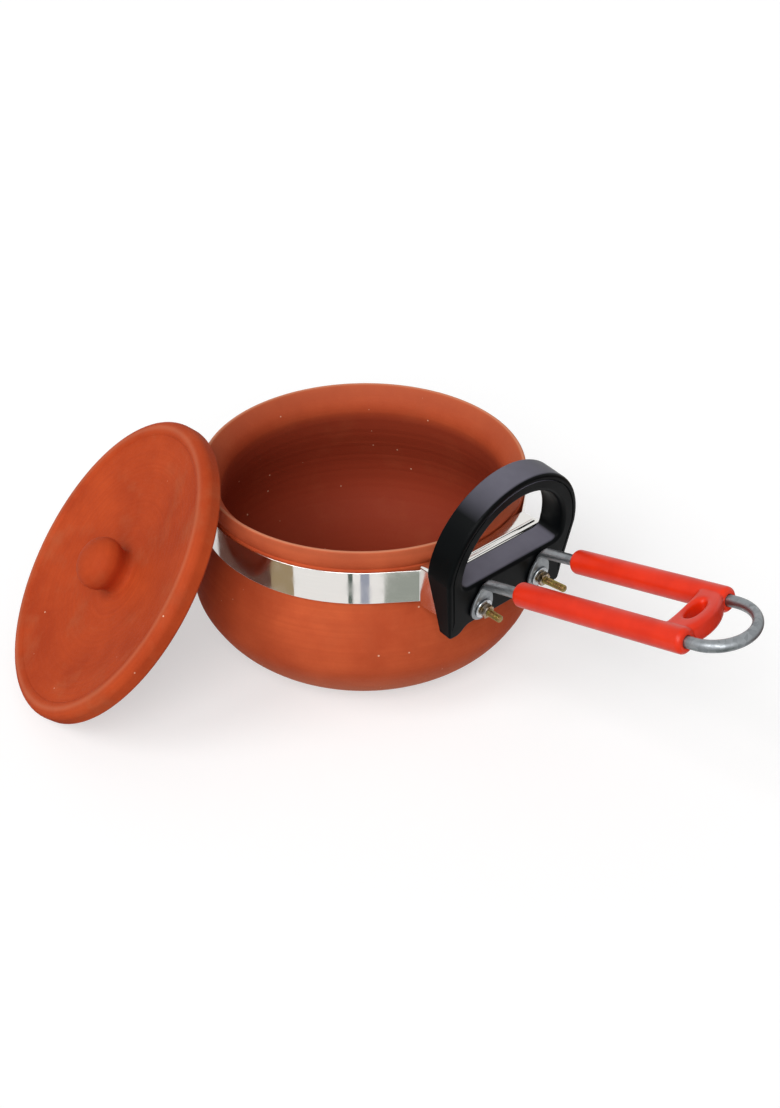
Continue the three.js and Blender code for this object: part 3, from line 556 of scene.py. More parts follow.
def terracotta(name, light, deep, colours, bloom, sanded):
    """Unglazed terracotta, thrown on a wheel and rubbed smooth with a wet cloth."""
    # The eye gets a matt, warm red body, cloudy from firing, with faint level lines from the wheel,
    # a fine sandy grain, a few pale grains of sand and, on a handled lid, dusty bloom.
    made, tree, own = piece_material(name)
    inside = add(tree, "ShaderNodeAttribute", attribute_name="inside").outputs["Fac"]
    parts = add(tree, "ShaderNodeSeparateXYZ", {"Vector": own})
    flat = add(tree, "ShaderNodeVectorMath", {0: own, 1: (1, 1, 0)}, operation="MULTIPLY")
    radius = add(tree, "ShaderNodeVectorMath", {0: flat.outputs[0]}, operation="LENGTH")
    meridian = add(tree, "ShaderNodeCombineXYZ", {"X": radius.outputs["Value"], "Y": parts.outputs["Z"]})
    cloud = add(tree, "ShaderNodeTexNoise", {
        "Vector": own, "Scale": per_metre(45), "Detail": 8.0, "Roughness": 0.62})
    lines = add(tree, "ShaderNodeTexNoise", {
        "Vector": meridian.outputs[0], "Scale": per_metre(2.2), "Detail": 3.0})
    # Real grain is about 0.3 mm; it is drawn at 0.9 mm so that it shows.
    grain = add(tree, "ShaderNodeTexNoise", {"Vector": own, "Scale": per_metre(0.9), "Detail": 2.0})
    sand = add(tree, "ShaderNodeTexVoronoi", {"Vector": own, "Scale": per_metre(8)})
    cloud_share = add(tree, "ShaderNodeMapRange", {
        "Value": cloud.outputs["Fac"], "From Min": 0.35, "From Max": 0.65})
    line_share = add(tree, "ShaderNodeMapRange", {
        "Value": lines.outputs["Fac"], "From Min": 0.3, "From Max": 0.7, "To Min": 0.0, "To Max": 0.35})
    body = add(tree, "ShaderNodeMix", {
        SHARE: cloud_share.outputs[0], FROM: rgba(light), TO: rgba(deep)}, data_type="RGBA").outputs[MIXED]
    body = add(tree, "ShaderNodeMix", {
        SHARE: line_share.outputs[0], FROM: body, TO: rgba(deep)}, data_type="RGBA").outputs[MIXED]
    # Paler where worn; the thin pale line along the pot's rim is a painted highlight.
    rubbed = add(tree, "ShaderNodeAttribute", attribute_name="rubbed").outputs["Fac"]
    body = add(tree, "ShaderNodeMix", {
        SHARE: rubbed, FROM: body, TO: rgba(colours.clay_worn_and_highlight)}, data_type="RGBA").outputs[MIXED]
    # Darker inside the pot and under the lid: partly the clay's own tone, partly painted shade.
    body = add(tree, "ShaderNodeMix", {
        SHARE: inside, FROM: body, TO: rgba(colours.clay_inside_and_shade)}, data_type="RGBA").outputs[MIXED]
    smear = add(tree, "ShaderNodeTexNoise", {
        "Vector": own, "Scale": per_metre(26), "Detail": 5.0, "Roughness": 0.6})
    smear_share = add(tree, "ShaderNodeMapRange", {
        "Value": smear.outputs["Fac"], "From Min": 0.52, "From Max": 0.72, "To Min": 0.0, "To Max": bloom})
    body = add(tree, "ShaderNodeMix", {
        SHARE: smear_share.outputs[0], FROM: body, TO: rgba(colours.clay_bloom)},
        data_type="RGBA").outputs[MIXED]
    speck_near = add(tree, "ShaderNodeMapRange", {
        "Value": sand.outputs["Distance"], "From Min": 0.045, "From Max": 0.075,
        "To Min": 1.0, "To Max": 0.0})
    chance = add(tree, "ShaderNodeSeparateColor", {"Color": sand.outputs["Color"]})
    rare = add(tree, "ShaderNodeMath", {0: chance.outputs["Red"], 1: 1.0 - sanded}, operation="GREATER_THAN")
    speck = add(tree, "ShaderNodeMath", {0: speck_near.outputs[0], 1: rare.outputs[0]}, operation="MULTIPLY")
    body = add(tree, "ShaderNodeMix", {
        SHARE: speck.outputs[0], FROM: body, TO: rgba(colours.clay_speck)}, data_type="RGBA").outputs[MIXED]
    rough = add(tree, "ShaderNodeMapRange", {
        "Value": grain.outputs["Fac"], "From Min": 0.3, "From Max": 0.7, "To Min": 0.62, "To Max": 0.82})
    line_bump = add(tree, "ShaderNodeBump", {
        "Height": lines.outputs["Fac"], "Strength": 0.25, "Distance": 0.12 * MM})
    grain_bump = add(tree, "ShaderNodeBump", {
        "Height": grain.outputs["Fac"], "Strength": 0.35, "Distance": 0.1 * MM,
        "Normal": line_bump.outputs[0]})
    shader = add(tree, "ShaderNodeBsdfPrincipled", {
        "Base Color": body, "Roughness": rough.outputs[0], "IOR": 1.45, "Specular IOR Level": 0.15,
        "Normal": grain_bump.outputs[0]})
    add(tree, "ShaderNodeOutputMaterial", {"Surface": shader.outputs[0]})
    return made


def stainless(name, colours, bright, dull):
    """Stainless steel, rolled and buffed, with its roughness where it is bright and where it is handled."""
    # The eye gets sharp reflections, drawn out a little by fine marks along the strip and dulled where
    # fingers have been.
    made, tree, own = piece_material(name)
    # Buffing marks are finer than a hair; they are drawn 0.5 mm wide so that they show.
    drawn = add(tree, "ShaderNodeMapping", {
        "Vector": own, "Scale": (per_metre(33), per_metre(33), per_metre(0.5))})
    marks = add(tree, "ShaderNodeTexNoise", {"Vector": drawn.outputs[0], "Scale": 1.0, "Detail": 2.0})
    smear = add(tree, "ShaderNodeTexNoise", {"Vector": own, "Scale": per_metre(14), "Detail": 4.0})
    rough = add(tree, "ShaderNodeMapRange", {
        "Value": smear.outputs["Fac"], "From Min": 0.4, "From Max": 0.75, "To Min": bright, "To Max": dull})
    tint = add(tree, "ShaderNodeMapRange", {
        "Value": marks.outputs["Fac"], "From Min": 0.3, "From Max": 0.7, "To Min": 0.0, "To Max": 0.12})
    marked = rgba([0.75 * c for c in colours.steel])
    shade = add(tree, "ShaderNodeMix", {
        SHARE: tint.outputs[0], FROM: rgba(colours.steel), TO: marked}, data_type="RGBA").outputs[MIXED]
    bump = add(tree, "ShaderNodeBump", {
        "Height": marks.outputs["Fac"], "Strength": 0.04, "Distance": 0.02 * MM})
    shader = add(tree, "ShaderNodeBsdfPrincipled", {
        "Base Color": shade, "Metallic": 1.0, "Roughness": rough.outputs[0], "Normal": bump.outputs[0]})
    add(tree, "ShaderNodeOutputMaterial", {"Surface": shader.outputs[0]})
    return made


def moulded_phenolic(name, colours):
    """Phenolic resin with wood flour, pressed in a steel mould and left as it came out."""
    # The eye gets a near black with soft, slightly uneven gloss, greyed where it faces up by dust and by a
    # painted sheen that stands in for the highlight on its top faces.
    made, tree, own = piece_material(name)
    flow = add(tree, "ShaderNodeTexNoise", {"Vector": own, "Scale": per_metre(18), "Detail": 4.0})
    # Wood flour is about 0.1 mm; it is drawn at 0.7 mm so that it shows.
    flour = add(tree, "ShaderNodeTexNoise", {"Vector": own, "Scale": per_metre(0.7), "Detail": 1.0})
    surface = add(tree, "ShaderNodeNewGeometry")
    facing = add(tree, "ShaderNodeSeparateXYZ", {"Vector": surface.outputs["Normal"]})
    # Upward faces are greyed: partly dust, partly painted sheen.
    upward = add(tree, "ShaderNodeMapRange", {
        "Value": facing.outputs["Z"], "From Min": 0.72, "From Max": 1.0, "To Min": 0.0, "To Max": 0.95})
    settled = add(tree, "ShaderNodeMapRange", {
        "Value": flow.outputs["Fac"], "From Min": 0.25, "From Max": 0.75, "To Min": 0.75, "To Max": 1.0})
    dust = add(tree, "ShaderNodeMath", {0: upward.outputs[0], 1: settled.outputs[0]}, operation="MULTIPLY")
    shade = add(tree, "ShaderNodeMix", {
        SHARE: dust.outputs[0], FROM: rgba(colours.phenolic), TO: rgba(colours.phenolic_dust_and_sheen)},
        data_type="RGBA").outputs[MIXED]
    rough = add(tree, "ShaderNodeMapRange", {
        "Value": flow.outputs["Fac"], "From Min": 0.3, "From Max": 0.7, "To Min": 0.3, "To Max": 0.42})
    bump = add(tree, "ShaderNodeBump", {
        "Height": flour.outputs["Fac"], "Strength": 0.12, "Distance": 0.05 * MM})
    shader = add(tree, "ShaderNodeBsdfPrincipled", {
        "Base Color": shade, "Roughness": rough.outputs[0], "Specular IOR Level": 0.04,
        "Normal": bump.outputs[0]})
    add(tree, "ShaderNodeOutputMaterial", {"Surface": shader.outputs[0]})
    return made


def galvanised_wire(name, colours):
    """Drawn steel wire, dipped in zinc."""
    # The eye gets a soft grey metal with cloudy crystals of zinc and dull runs.
    made, tree, own = piece_material(name)
    spangle = add(tree, "ShaderNodeTexVoronoi", {"Vector": own, "Scale": per_metre(2.6)})
    tone = add(tree, "ShaderNodeSeparateColor", {"Color": spangle.outputs["Color"]})
    runs = add(tree, "ShaderNodeTexNoise", {"Vector": own, "Scale": per_metre(7), "Detail": 4.0})
    share = add(tree, "ShaderNodeMath", {
        0: tone.outputs["Red"], 1: runs.outputs["Fac"]}, operation="MULTIPLY")
    shade = add(tree, "ShaderNodeMix", {
        SHARE: share.outputs[0], FROM: rgba(colours.zinc_light), TO: rgba(colours.zinc_dark)},
        data_type="RGBA").outputs[MIXED]
    rough = add(tree, "ShaderNodeMapRange", {
        "Value": share.outputs[0], "From Min": 0.0, "From Max": 0.7, "To Min": 0.36, "To Max": 0.54})
    bump = add(tree, "ShaderNodeBump", {
        "Height": runs.outputs["Fac"], "Strength": 0.2, "Distance": 0.15 * MM})
    shader = add(tree, "ShaderNodeBsdfPrincipled", {
        "Base Color": shade, "Metallic": 1.0, "Roughness": rough.outputs[0], "Normal": bump.outputs[0]})
    add(tree, "ShaderNodeOutputMaterial", {"Surface": shader.outputs[0]})
    return made


def zinc_plate(name, base, tint, tint_share):
    """Steel turned or stamped, then zinc plated and passivated."""
    # The eye gets a bright, slightly grainy metal, on bolts with patches of yellow and green.
    made, tree, own = piece_material(name)
    patch = add(tree, "ShaderNodeTexNoise", {"Vector": own, "Scale": per_metre(2.4), "Detail": 3.0})
    share = add(tree, "ShaderNodeMapRange", {
        "Value": patch.outputs["Fac"], "From Min": 0.4, "From Max": 0.65,
        "To Min": 0.0, "To Max": tint_share})
    shade = add(tree, "ShaderNodeMix", {
        SHARE: share.outputs[0], FROM: rgba(base), TO: rgba(tint)}, data_type="RGBA").outputs[MIXED]
    rough = add(tree, "ShaderNodeMapRange", {
        "Value": patch.outputs["Fac"], "From Min": 0.3, "From Max": 0.7, "To Min": 0.2, "To Max": 0.36})
    bump = add(tree, "ShaderNodeBump", {
        "Height": patch.outputs["Fac"], "Strength": 0.1, "Distance": 0.05 * MM})
    shader = add(tree, "ShaderNodeBsdfPrincipled", {
        "Base Color": shade, "Metallic": 1.0, "Roughness": rough.outputs[0], "Normal": bump.outputs[0]})
    add(tree, "ShaderNodeOutputMaterial", {"Surface": shader.outputs[0]})
    return made


def moulded_vinyl(name, colours):
    """Soft vinyl, dip moulded and satin."""
    # The eye gets a strong even red with a soft sheen, slightly deeper in its folds and faintly dimpled.
    made, tree, own = piece_material(name)
    cloud = add(tree, "ShaderNodeTexNoise", {"Vector": own, "Scale": per_metre(16), "Detail": 3.0})
    share = add(tree, "ShaderNodeMapRange", {
        "Value": cloud.outputs["Fac"], "From Min": 0.35, "From Max": 0.7, "To Min": 0.0, "To Max": 0.6})
    shade = add(tree, "ShaderNodeMix", {
        SHARE: share.outputs[0], FROM: rgba(colours.grip), TO: rgba(colours.grip_deep)},
        data_type="RGBA").outputs[MIXED]
    # Dimples of the skin are under 0.2 mm; they are drawn at 1.2 mm so that they show.
    dimple = add(tree, "ShaderNodeTexNoise", {"Vector": own, "Scale": per_metre(1.2), "Detail": 1.0})
    rough = add(tree, "ShaderNodeMapRange", {
        "Value": cloud.outputs["Fac"], "From Min": 0.3, "From Max": 0.7, "To Min": 0.3, "To Max": 0.42})
    bump = add(tree, "ShaderNodeBump", {
        "Height": dimple.outputs["Fac"], "Strength": 0.1, "Distance": 0.06 * MM})
    shader = add(tree, "ShaderNodeBsdfPrincipled", {
        "Base Color": shade, "Roughness": rough.outputs[0], "Specular IOR Level": 0.3,
        "Normal": bump.outputs[0]})
    add(tree, "ShaderNodeOutputMaterial", {"Surface": shader.outputs[0]})
    return made


# Thrown pieces

def thrown(profile, weight, pitch, depth, seed):
    """Rings of a turned skin with the shallow spiral that fingers leave, deeper where its weight is high."""
    pitch_shares = (1.0, 0.62, 0.37)    # waves of three lengths, so that the marks do not repeat
    steps = np.linalg.norm(np.diff(profile, axis=0), axis=1)
    along = np.concatenate([[0], np.cumsum(steps)])[:, None]
    normals = outward(profile, False)
    turns = round_turns(WHEEL_SIDES)
    draws = np.random.default_rng(seed)
    wave = np.zeros((len(profile), WHEEL_SIDES))
    for share in pitch_shares:
        phase = draws.uniform(0, TURN)
        wave += share * np.sin(TURN * along / (pitch * share) - turns + phase)
    offset = depth * np.asarray(weight)[:, None] * wave / 2
    radius = profile[:, :1] + normals[:, :1] * offset
    height = profile[:, 1:] + normals[:, 1:] * offset
    return np.stack([radius * np.cos(turns), radius * np.sin(turns), height], -1)


def stretch(points, rings=0.0, inside=0.0):
    """Stretch of a profile, how deep its throwing rings are and how far it lies inside."""
    return points, rings, inside


def joined(*parts):
    """Points, ring weights and inside shares of a profile from its stretches."""
    points = np.vstack([line for line, _, _ in parts])
    weight = np.concatenate([np.full(len(line), rings) for line, rings, _ in parts])
    inside = np.concatenate([np.full(len(line), share) for line, _, share in parts])
    return points, weight, inside


def softened(values, times):
    """Values along a profile with their steps smoothed out."""
    for _ in range(times):
        values = np.convolve(np.pad(values, 1, mode="edge"), [0.25, 0.5, 0.25], mode="valid")
    return values


def pot_outside(sizes, made):
    """Stretches of the pot's outside from its base edge over the lip, radius first and height second."""
    pot = sizes.pot
    below_neck, out_of_groove, roll_end = 104, 66, 126    # headings
    ridge_soft = 0.25        # how gently the crest of the ridge is rounded
    base = (pot.base_radius, 0)
    belly = (pot.belly_radius, pot.belly_height)
    seat_bottom = (made.neck, made.band_bottom - pot.neck_shoulder)
    seat_top = (made.neck, made.band_top + pot.neck_shoulder)
    groove = (made.neck - pot.groove_depth, made.band_top + pot.groove_above_band)
    roll_centre = (pot.rim_radius - pot.lip_roll, pot.height - pot.lip_roll)
    roll = arc(roll_centre, pot.lip_roll, OUT, roll_end, steps=20)
    lower = sweep(base, OUT, belly, UP, steps=64, leave=0.284, arrive=0.4)
    fade = np.clip(1 - np.hypot((lower[:, 1] - pot.ridge_height) / pot.ridge_reach, ridge_soft), 0, 1)
    lower = lower + pot.ridge * fade[:, None] * outward(lower, False)
    upper = sweep(belly, UP, seat_bottom, below_neck, steps=40, leave=0.354, arrive=0.26)
    return [
        stretch(np.array([base])),
        stretch(lower, rings=0.35),
        stretch(upper, rings=0.35),
        stretch(straight(seat_bottom, seat_top, steps=14)),
        stretch(sweep(seat_top, UP, groove, UP, steps=14)),
        stretch(sweep(groove, out_of_groove, roll[0], UP, steps=20)),
        stretch(roll[1:]),
    ]


def pot_profile(sizes, made):
    """Whole profile of the pot from the middle of its base to the middle of its floor."""
    pot = sizes.pot
    into_throat = 228        # heading
    outside = pot_outside(sizes, made)
    first, last = outside[0][0], outside[-1][0]
    base, lip = first[0], last[-1]
    throat = (made.throat, made.band_top - pot.throat_below_band)
    widest = (pot.belly_radius - pot.wall, pot.belly_height)
    floor = (pot.base_radius - pot.floor_inset, pot.floor)
    return joined(
        stretch(straight((0, 0), base, steps=20)[:-1]),
        *outside,
        # From the lip down, the inside takes the darker inside colour: partly the clay's own tone, partly
        # painted shade.
        stretch(sweep(lip, into_throat, throat, DOWN, steps=30), rings=0.25, inside=0.3),
        stretch(sweep(throat, DOWN, widest, DOWN, steps=60), rings=1.0, inside=1.0),
        stretch(sweep(widest, DOWN, floor, IN, steps=60), rings=1.0, inside=1.0),
        stretch(straight(floor, (POLE, pot.floor), steps=26), rings=0.6, inside=1.0),
    )


def lid_profile(lid):
    """Profile of the lid from the top of its knob over the rim to the middle of its underside."""
    into_crease, out_of_crease, under_edge = 12, 52, 207    # headings
    top = (0, lid.knob_top)
    widest = (lid.knob_radius, lid.knob_middle)
    neck = (lid.knob_neck_radius, lid.knob_neck_rise - lid.dish)
    dish = (lid.knob_neck_radius + lid.knob_fillet, -lid.dish)
    crease = (lid.radius - lid.rim_width, lid.rim_height - lid.crease_depth)
    crest = (lid.radius - lid.crest_inset, lid.rim_height)
    edge = (lid.radius, 0)
    edge_foot = (lid.radius, -lid.edge_drop)
    under = (lid.radius - lid.edge_round, -lid.edge_drop - lid.edge_round)
    foot = (lid.foot_radius, lid.foot_round - lid.under)
    foot_low = (lid.foot_radius - lid.edge_round, -lid.under)
    foot_in = (lid.foot_radius - lid.foot_width, -lid.under)
    hollow = (foot_in[0] - lid.recess, lid.recess - lid.under)
    return joined(
        stretch(sweep(top, OUT, widest, DOWN, steps=40, leave=0.48, arrive=0.34), rings=0.15),
        stretch(sweep(widest, DOWN, neck, DOWN, steps=20), rings=0.15),
        stretch(sweep(neck, DOWN, dish, OUT, steps=10), rings=0.3),
        stretch(sweep(dish, OUT, crease, into_crease, steps=90), rings=1.0),
        stretch(sweep(crease, out_of_crease, crest, OUT, steps=14), rings=0.2),
        stretch(sweep(crest, OUT, edge, DOWN, steps=20), rings=0.2),
        stretch(straight(edge, edge_foot, steps=6)),
        stretch(sweep(edge_foot, DOWN, under, under_edge, steps=10)),
        # The underside takes a share of the darker inside colour: partly the clay's own tone, partly painted
        # shade.
        stretch(straight(under, foot, steps=30), rings=0.8, inside=0.3),
        stretch(sweep(foot, DOWN, foot_low, IN, steps=6), inside=0.3),
        stretch(straight(foot_low, foot_in, steps=6), inside=0.3),
        stretch(straight(foot_in, hollow, steps=6), inside=0.3),
        stretch(straight(hollow, (POLE, hollow[1]), steps=30), rings=0.8, inside=0.3),
    )


def throw(name, profile, pitch, depth, seed):
    """Turned piece with throwing rings, and with the share of each point that lies inside."""
    points, weight, inside = profile
    rings = thrown(points, softened(weight, times=8), pitch, depth, seed)
    piece = solid(name, *skin(rings))
    inside = np.repeat(softened(inside, times=10), WHEEL_SIDES)
    mark(piece, "inside", np.append(inside, [0.0, inside[-1]]))
    return piece


class POT_OT_body(bpy.types.Operator):
    """Throw the pot"""
    bl_idname = "clay_pot.body"
    bl_label = "Pot Body"

    def execute(self, context):
        sizes = context.scene.clay_pot
        made, pot, finish = plan(sizes), sizes.pot, sizes.finish
        profile = pot_profile(sizes, made)
        piece = throw("thrown_pot", profile, pot.ring_pitch, pot.ring_depth, seed=3)
        level = np.array([point.co.z for point in piece.data.vertices])
        # How pale the clay turns, and the levels between which it grows: low on the belly, worn up the lip,
        # and along the rim a thin pale line that is a painted highlight.
        wear = ((0.45, 38 * MM, 12 * MM), (0.18, made.band_top, pot.height),
                (0.65, pot.height - 0.6 * MM, pot.height - 0.1 * MM))
        mark(piece, "rubbed", sum(pale * smooth_step(start, end, level) for pale, start, end in wear))
        clay = terracotta("Thrown terracotta", finish.clay_light, finish.clay_deep, finish,
                          bloom=0.12, sanded=0.5)
        dress(piece, Matrix.Identity(4), "pot_body", clay)
        return {"FINISHED"}


class POT_OT_lid(bpy.types.Operator):
    """Throw the lid with its knob and lean it on the pot"""
    bl_idname = "clay_pot.lid"
    bl_label = "Lid"

    def execute(self, context):
        sizes = context.scene.clay_pot
        lid, finish = sizes.lid, sizes.finish
        piece = throw("thrown_lid", lid_profile(lid), lid.ring_pitch, lid.ring_depth, seed=5)
        radius = np.array([math.hypot(point.co.x, point.co.y) for point in piece.data.vertices])
        pale, worn_width = 0.25, 1.5 * MM
        mark(piece, "rubbed", pale * np.exp(-((radius - lid.radius + lid.crest_inset) / worn_width) ** 2))
        clay = terracotta("Thrown terracotta, dusty", finish.lid_light, finish.lid_deep, finish,
                          bloom=0.4, sanded=0.12)
        dress(piece, plan(sizes).lid, "lid", clay)
        return {"FINISHED"}


# Steel band and guard

def band_line(sizes, made):
    """Middle line of the strip from above, from one turned-in end round the back to the other."""
    band = sizes.band
    corner = np.array([made.band_x, made.band_y])
    reach = np.linalg.norm(corner)
    leave = math.degrees(math.atan2(corner[1], corner[0]) + math.acos(made.band_radius / reach))
    tangent = made.band_radius * heading(leave)
    along = (tangent - corner) / np.linalg.norm(tangent - corner)
    before, after = corner + (band.bend, 0), corner + along * band.bend
    half = np.vstack([
        [corner + (band.tab, 0)],
        straight(corner + (band.tab, 0), before, steps=4),
        corner_curve(before, corner, after, steps=10),
        straight(after, tangent, steps=10),
        arc((0, 0), made.band_radius, leave, IN, steps=150)[1:],
    ])
    return np.vstack([half, half[-2::-1] * (1, -1)])


def strip_section(thickness, height):
    """Outline of a strip with rolled edges, across first and up second."""
    edge = 0.35 * thickness
    x, y = thickness / 2 - edge, height / 2 - edge
    corners = [((x, y), 0), ((-x, y), 90), ((-x, -y), 180), ((x, -y), 270)]
    return np.vstack([arc(centre, edge, first, first + 90, steps=5) for centre, first in corners])


class POT_OT_band(bpy.types.Operator):
    """Bend the strip round the neck"""
    bl_idname = "clay_pot.band"
    bl_label = "Neck Band"

    def execute(self, context):
        sizes = context.scene.clay_pot
        made, band = plan(sizes), sizes.band
        line = band_line(sizes, made)
        sides = outward(line, False)
        round_pot = np.arctan2(line[:, 1], line[:, 0])
        # Slow waves round the strip: how many, how strong, and where they start.
        waves = ((5, 1.0, 0.6), (11, 0.6, 2.1))
        total = sum(strength for _, strength, _ in waves)
        wave = sum(strength * np.sin(count * round_pot + start) for count, strength, start in waves)
        line = line + sides * (band.wave * wave / total)[:, None]
        section = strip_section(band.thickness, band.height)
        middle = (made.band_top + made.band_bottom) / 2
        rings = np.empty((len(line), len(section), 3))
        rings[:, :, :2] = line[:, None] + sides[:, None] * section[None, :, :1]
        rings[:, :, 2] = middle + section[None, :, 1]
        piece = solid("steel_band", *skin(rings))
        steel = stainless("Buffed stainless strip", sizes.finish, bright=0.05, dull=0.17)
        dress(piece, Matrix.Identity(4), "neck_band", steel)
        even_normals(piece)
        return {"FINISHED"}


def folded_block(name, outline, half_width, fold):
    """Block with a side outline, given width both ways and rounded on all edges but those at its back."""
    rings = [np.insert(np.array(outline), 1, y, axis=1) for y in (-half_width, half_width)]
    block = solid(name, *skin(rings))
    back = outline[0][0]
    body = bmesh.new()
    body.from_mesh(block.data)
    bmesh.ops.dissolve_limit(body, angle_limit=0.01, verts=body.verts, edges=body.edges)
    edges = [e for e in body.edges if any(v.co.x > back + CUT_PAST / 2 for v in e.verts)]
    bmesh.ops.bevel(body, geom=edges, offset=fold, segments=5, profile=0.5, affect="EDGES")
    body.to_mesh(block.data)
    body.free()
    return block


class POT_OT_guard(bpy.types.Operator):
    """Fold the sheet box between the band and the loop handle"""
    bl_idname = "clay_pot.guard"
    bl_label = "Handle Guard"

    def execute(self, context):
        sizes = context.scene.clay_pot
        made, guard, loop = plan(sizes), sizes.guard, sizes.loop
        top = made.handle @ Vector((0, 0, made.heel_top))
        foot = made.handle @ Vector((loop.heel_cut, 0, -loop.foot_drop))
        run = (foot.x - top.x) / (foot.z - top.z)

        def heel(level, inset):
            """How far out the sloping front is at a level, with an inset."""
            return top.x + (level - top.z) * run - inset * math.hypot(1, run)

        def side(back, inset, low, high):
            """Outline from the side, between two levels."""
            return [(back, low), (heel(low, inset), low), (heel(high, inset), high), (back, high)]

        wall, low, high = guard.wall, made.guard_bottom, made.guard_top
        least_fold = 0.3 * MM
        shell = side(made.guard_back, SEAT_GAP, low, high)
        hollow = side(made.guard_back - CUT_PAST, SEAT_GAP + wall, low + wall, high - wall)
        piece = folded_block("steel_guard", shell, guard.half_width, guard.fold)
        inner_fold = max(guard.fold - wall, least_fold)
        inner = folded_block("guard_hollow", hollow, guard.half_width - wall, inner_fold)
        combine(piece, inner, "DIFFERENCE")
        outside = joined(*pot_outside(sizes, made))[0] + (guard.pot_gap, 0)
        turns = round_turns(sides=192)
        rings = [np.stack([r * np.cos(turns), r * np.sin(turns), np.full(len(turns), z)], 1)
                 for r, z in outside]
        combine(piece, solid("pot_space", *skin(rings)), "DIFFERENCE")
        half = guard.half_width - 2 * wall
        rib_sunk = guard.rib_radius / 4
        centre = (heel(high, SEAT_GAP) - guard.rib_setback, high - rib_sunk)
        combine(piece, solid("guard_rib", *skin(rib_rings(guard.rib_radius, half, centre))), "UNION")
        for y in made.legs:
            drill = rod(made.hole, 0, loop.depth, y)
            combine(piece, solid("guard_drill", *skin(place_points(drill, made.handle))), "DIFFERENCE")
        steel = stainless("Satin stainless sheet", sizes.finish, bright=0.1, dull=0.2)
        dress(piece, Matrix.Identity(4), "handle_guard", steel)
        even_normals(piece)
        return {"FINISHED"}


def rib_rings(radius, half, centre):
    """Rings of a pressed rib across the guard with round ends."""
    pole_gap = 4             # degrees between the tip of a round end and its first ring
    x, z = centre
    turns = round_turns(sides=32)
    ends = np.radians(np.linspace(pole_gap, 90, num=9))
    left = [(-half + radius - radius * math.cos(a), radius * math.sin(a)) for a in ends]
    spots = left + [(-y, r) for y, r in left[::-1]]
    return [np.stack([x + r * np.cos(turns), np.full(len(turns), y), z + r * np.sin(turns)], 1)
            for y, r in spots]


# Moulded loop handle

def moulded(loops, split=None):
    """Points and faces between a back and a front face, from outlines with rows of inset and depth."""
    body = bmesh.new()
    caps = ([], [])
    for outline, rows in loops:
        sides = outward(outline, True)
        made = []
        for inset, depth in rows:
            flat = outline - sides * np.broadcast_to(inset, len(outline))[:, None]
            deep = np.broadcast_to(depth, len(outline))
            made.append([body.verts.new((*spot, w)) for spot, w in zip(flat, deep)])
        count = len(outline)
        for low, high in zip(made, made[1:]):
            for i in range(count):
                j = (i + 1) % count
                body.faces.new((low[i], low[j], high[j], high[i]))
        for cap, row in zip(caps, (made[0], made[-1])):
            cap += [body.edges.get((row[i], row[(i + 1) % count])) for i in range(count)]
    for cap in caps:
        bmesh.ops.triangle_fill(body, edges=cap, use_beauty=True)
    if split is not None:
        geometry = [*body.verts, *body.edges, *body.faces]
        bmesh.ops.bisect_plane(body, geom=geometry, plane_co=(0, split, 0), plane_no=(0, 1, 0))
    body.verts.index_update()
    points = np.array([v.co for v in body.verts])
    faces = [[v.index for v in face.verts] for face in body.faces]
    body.free()
    return points, faces


def rounded_rows(depth, back, front, steps=6):
    """Rows of inset and depth for a wall with rounded edges at its back and front."""
    turns = np.radians(np.linspace(0, 90, steps + 1))
    rows = [(back * (1 - math.sin(a)), back * (1 - math.cos(a))) for a in turns]
    rows += [(front * (1 - math.cos(a)), depth - front * (1 - math.sin(a))) for a in turns]
    return rows


def loop_outline(loop, made):
    """Outer outline of the loop handle, anticlockwise, across first and up second."""
    centre = (0, made.arch_centre)
    foot_out = loop.arch_radius - loop.foot_inset
    foot_in = foot_out - loop.foot_width
    corner, low = loop.foot_corner, -loop.foot_drop
    arch = arc(centre, loop.arch_radius, OUT, IN, steps=120)
    foot = np.vstack([
        straight(arch[-1], (-foot_out, low + corner), steps=30),
        corner_curve((-foot_out, low + corner), (-foot_out, low), (-foot_out + corner, low), steps=10),
        straight((-foot_out + corner, low), (-foot_in - corner, low), steps=4),
        sweep((-foot_in - corner, low), OUT, (-foot_in + 2 * corner, -loop.bar_drop), OUT, steps=14),
    ])
    bar = straight(foot[-1], foot[-1] * (-1, 1), steps=40)[:-1]
    return np.vstack([arch, foot, bar, foot[::-1] * (-1, 1)])


def loop_window(loop, made):
    """Outline of the finger window, clockwise."""
    half = loop.arch_radius - loop.limb_width
    corner = loop.window_corner
    centre = (0, made.arch_centre)
    arch = arc(centre, half, OUT, IN, steps=90)
    left = corner_curve(arch[-1], (-half, loop.bar_top), (-half + corner, loop.bar_top), steps=12)
    bar = straight(left[-1], left[-1] * (-1, 1), steps=40)
    right = corner_curve(bar[-1], (half, loop.bar_top), arch[0], steps=12)[:-1]
    return np.vstack([arch, left, bar, right])[::-1]


def bolt_holes(made, depth):
    """Loops of the two bolt holes, clockwise."""
    rows = [(0, 0), (0, depth)]
    return [(arc((y, 0), made.hole, 0, -360, steps=32)[:-1], rows) for y in made.legs]


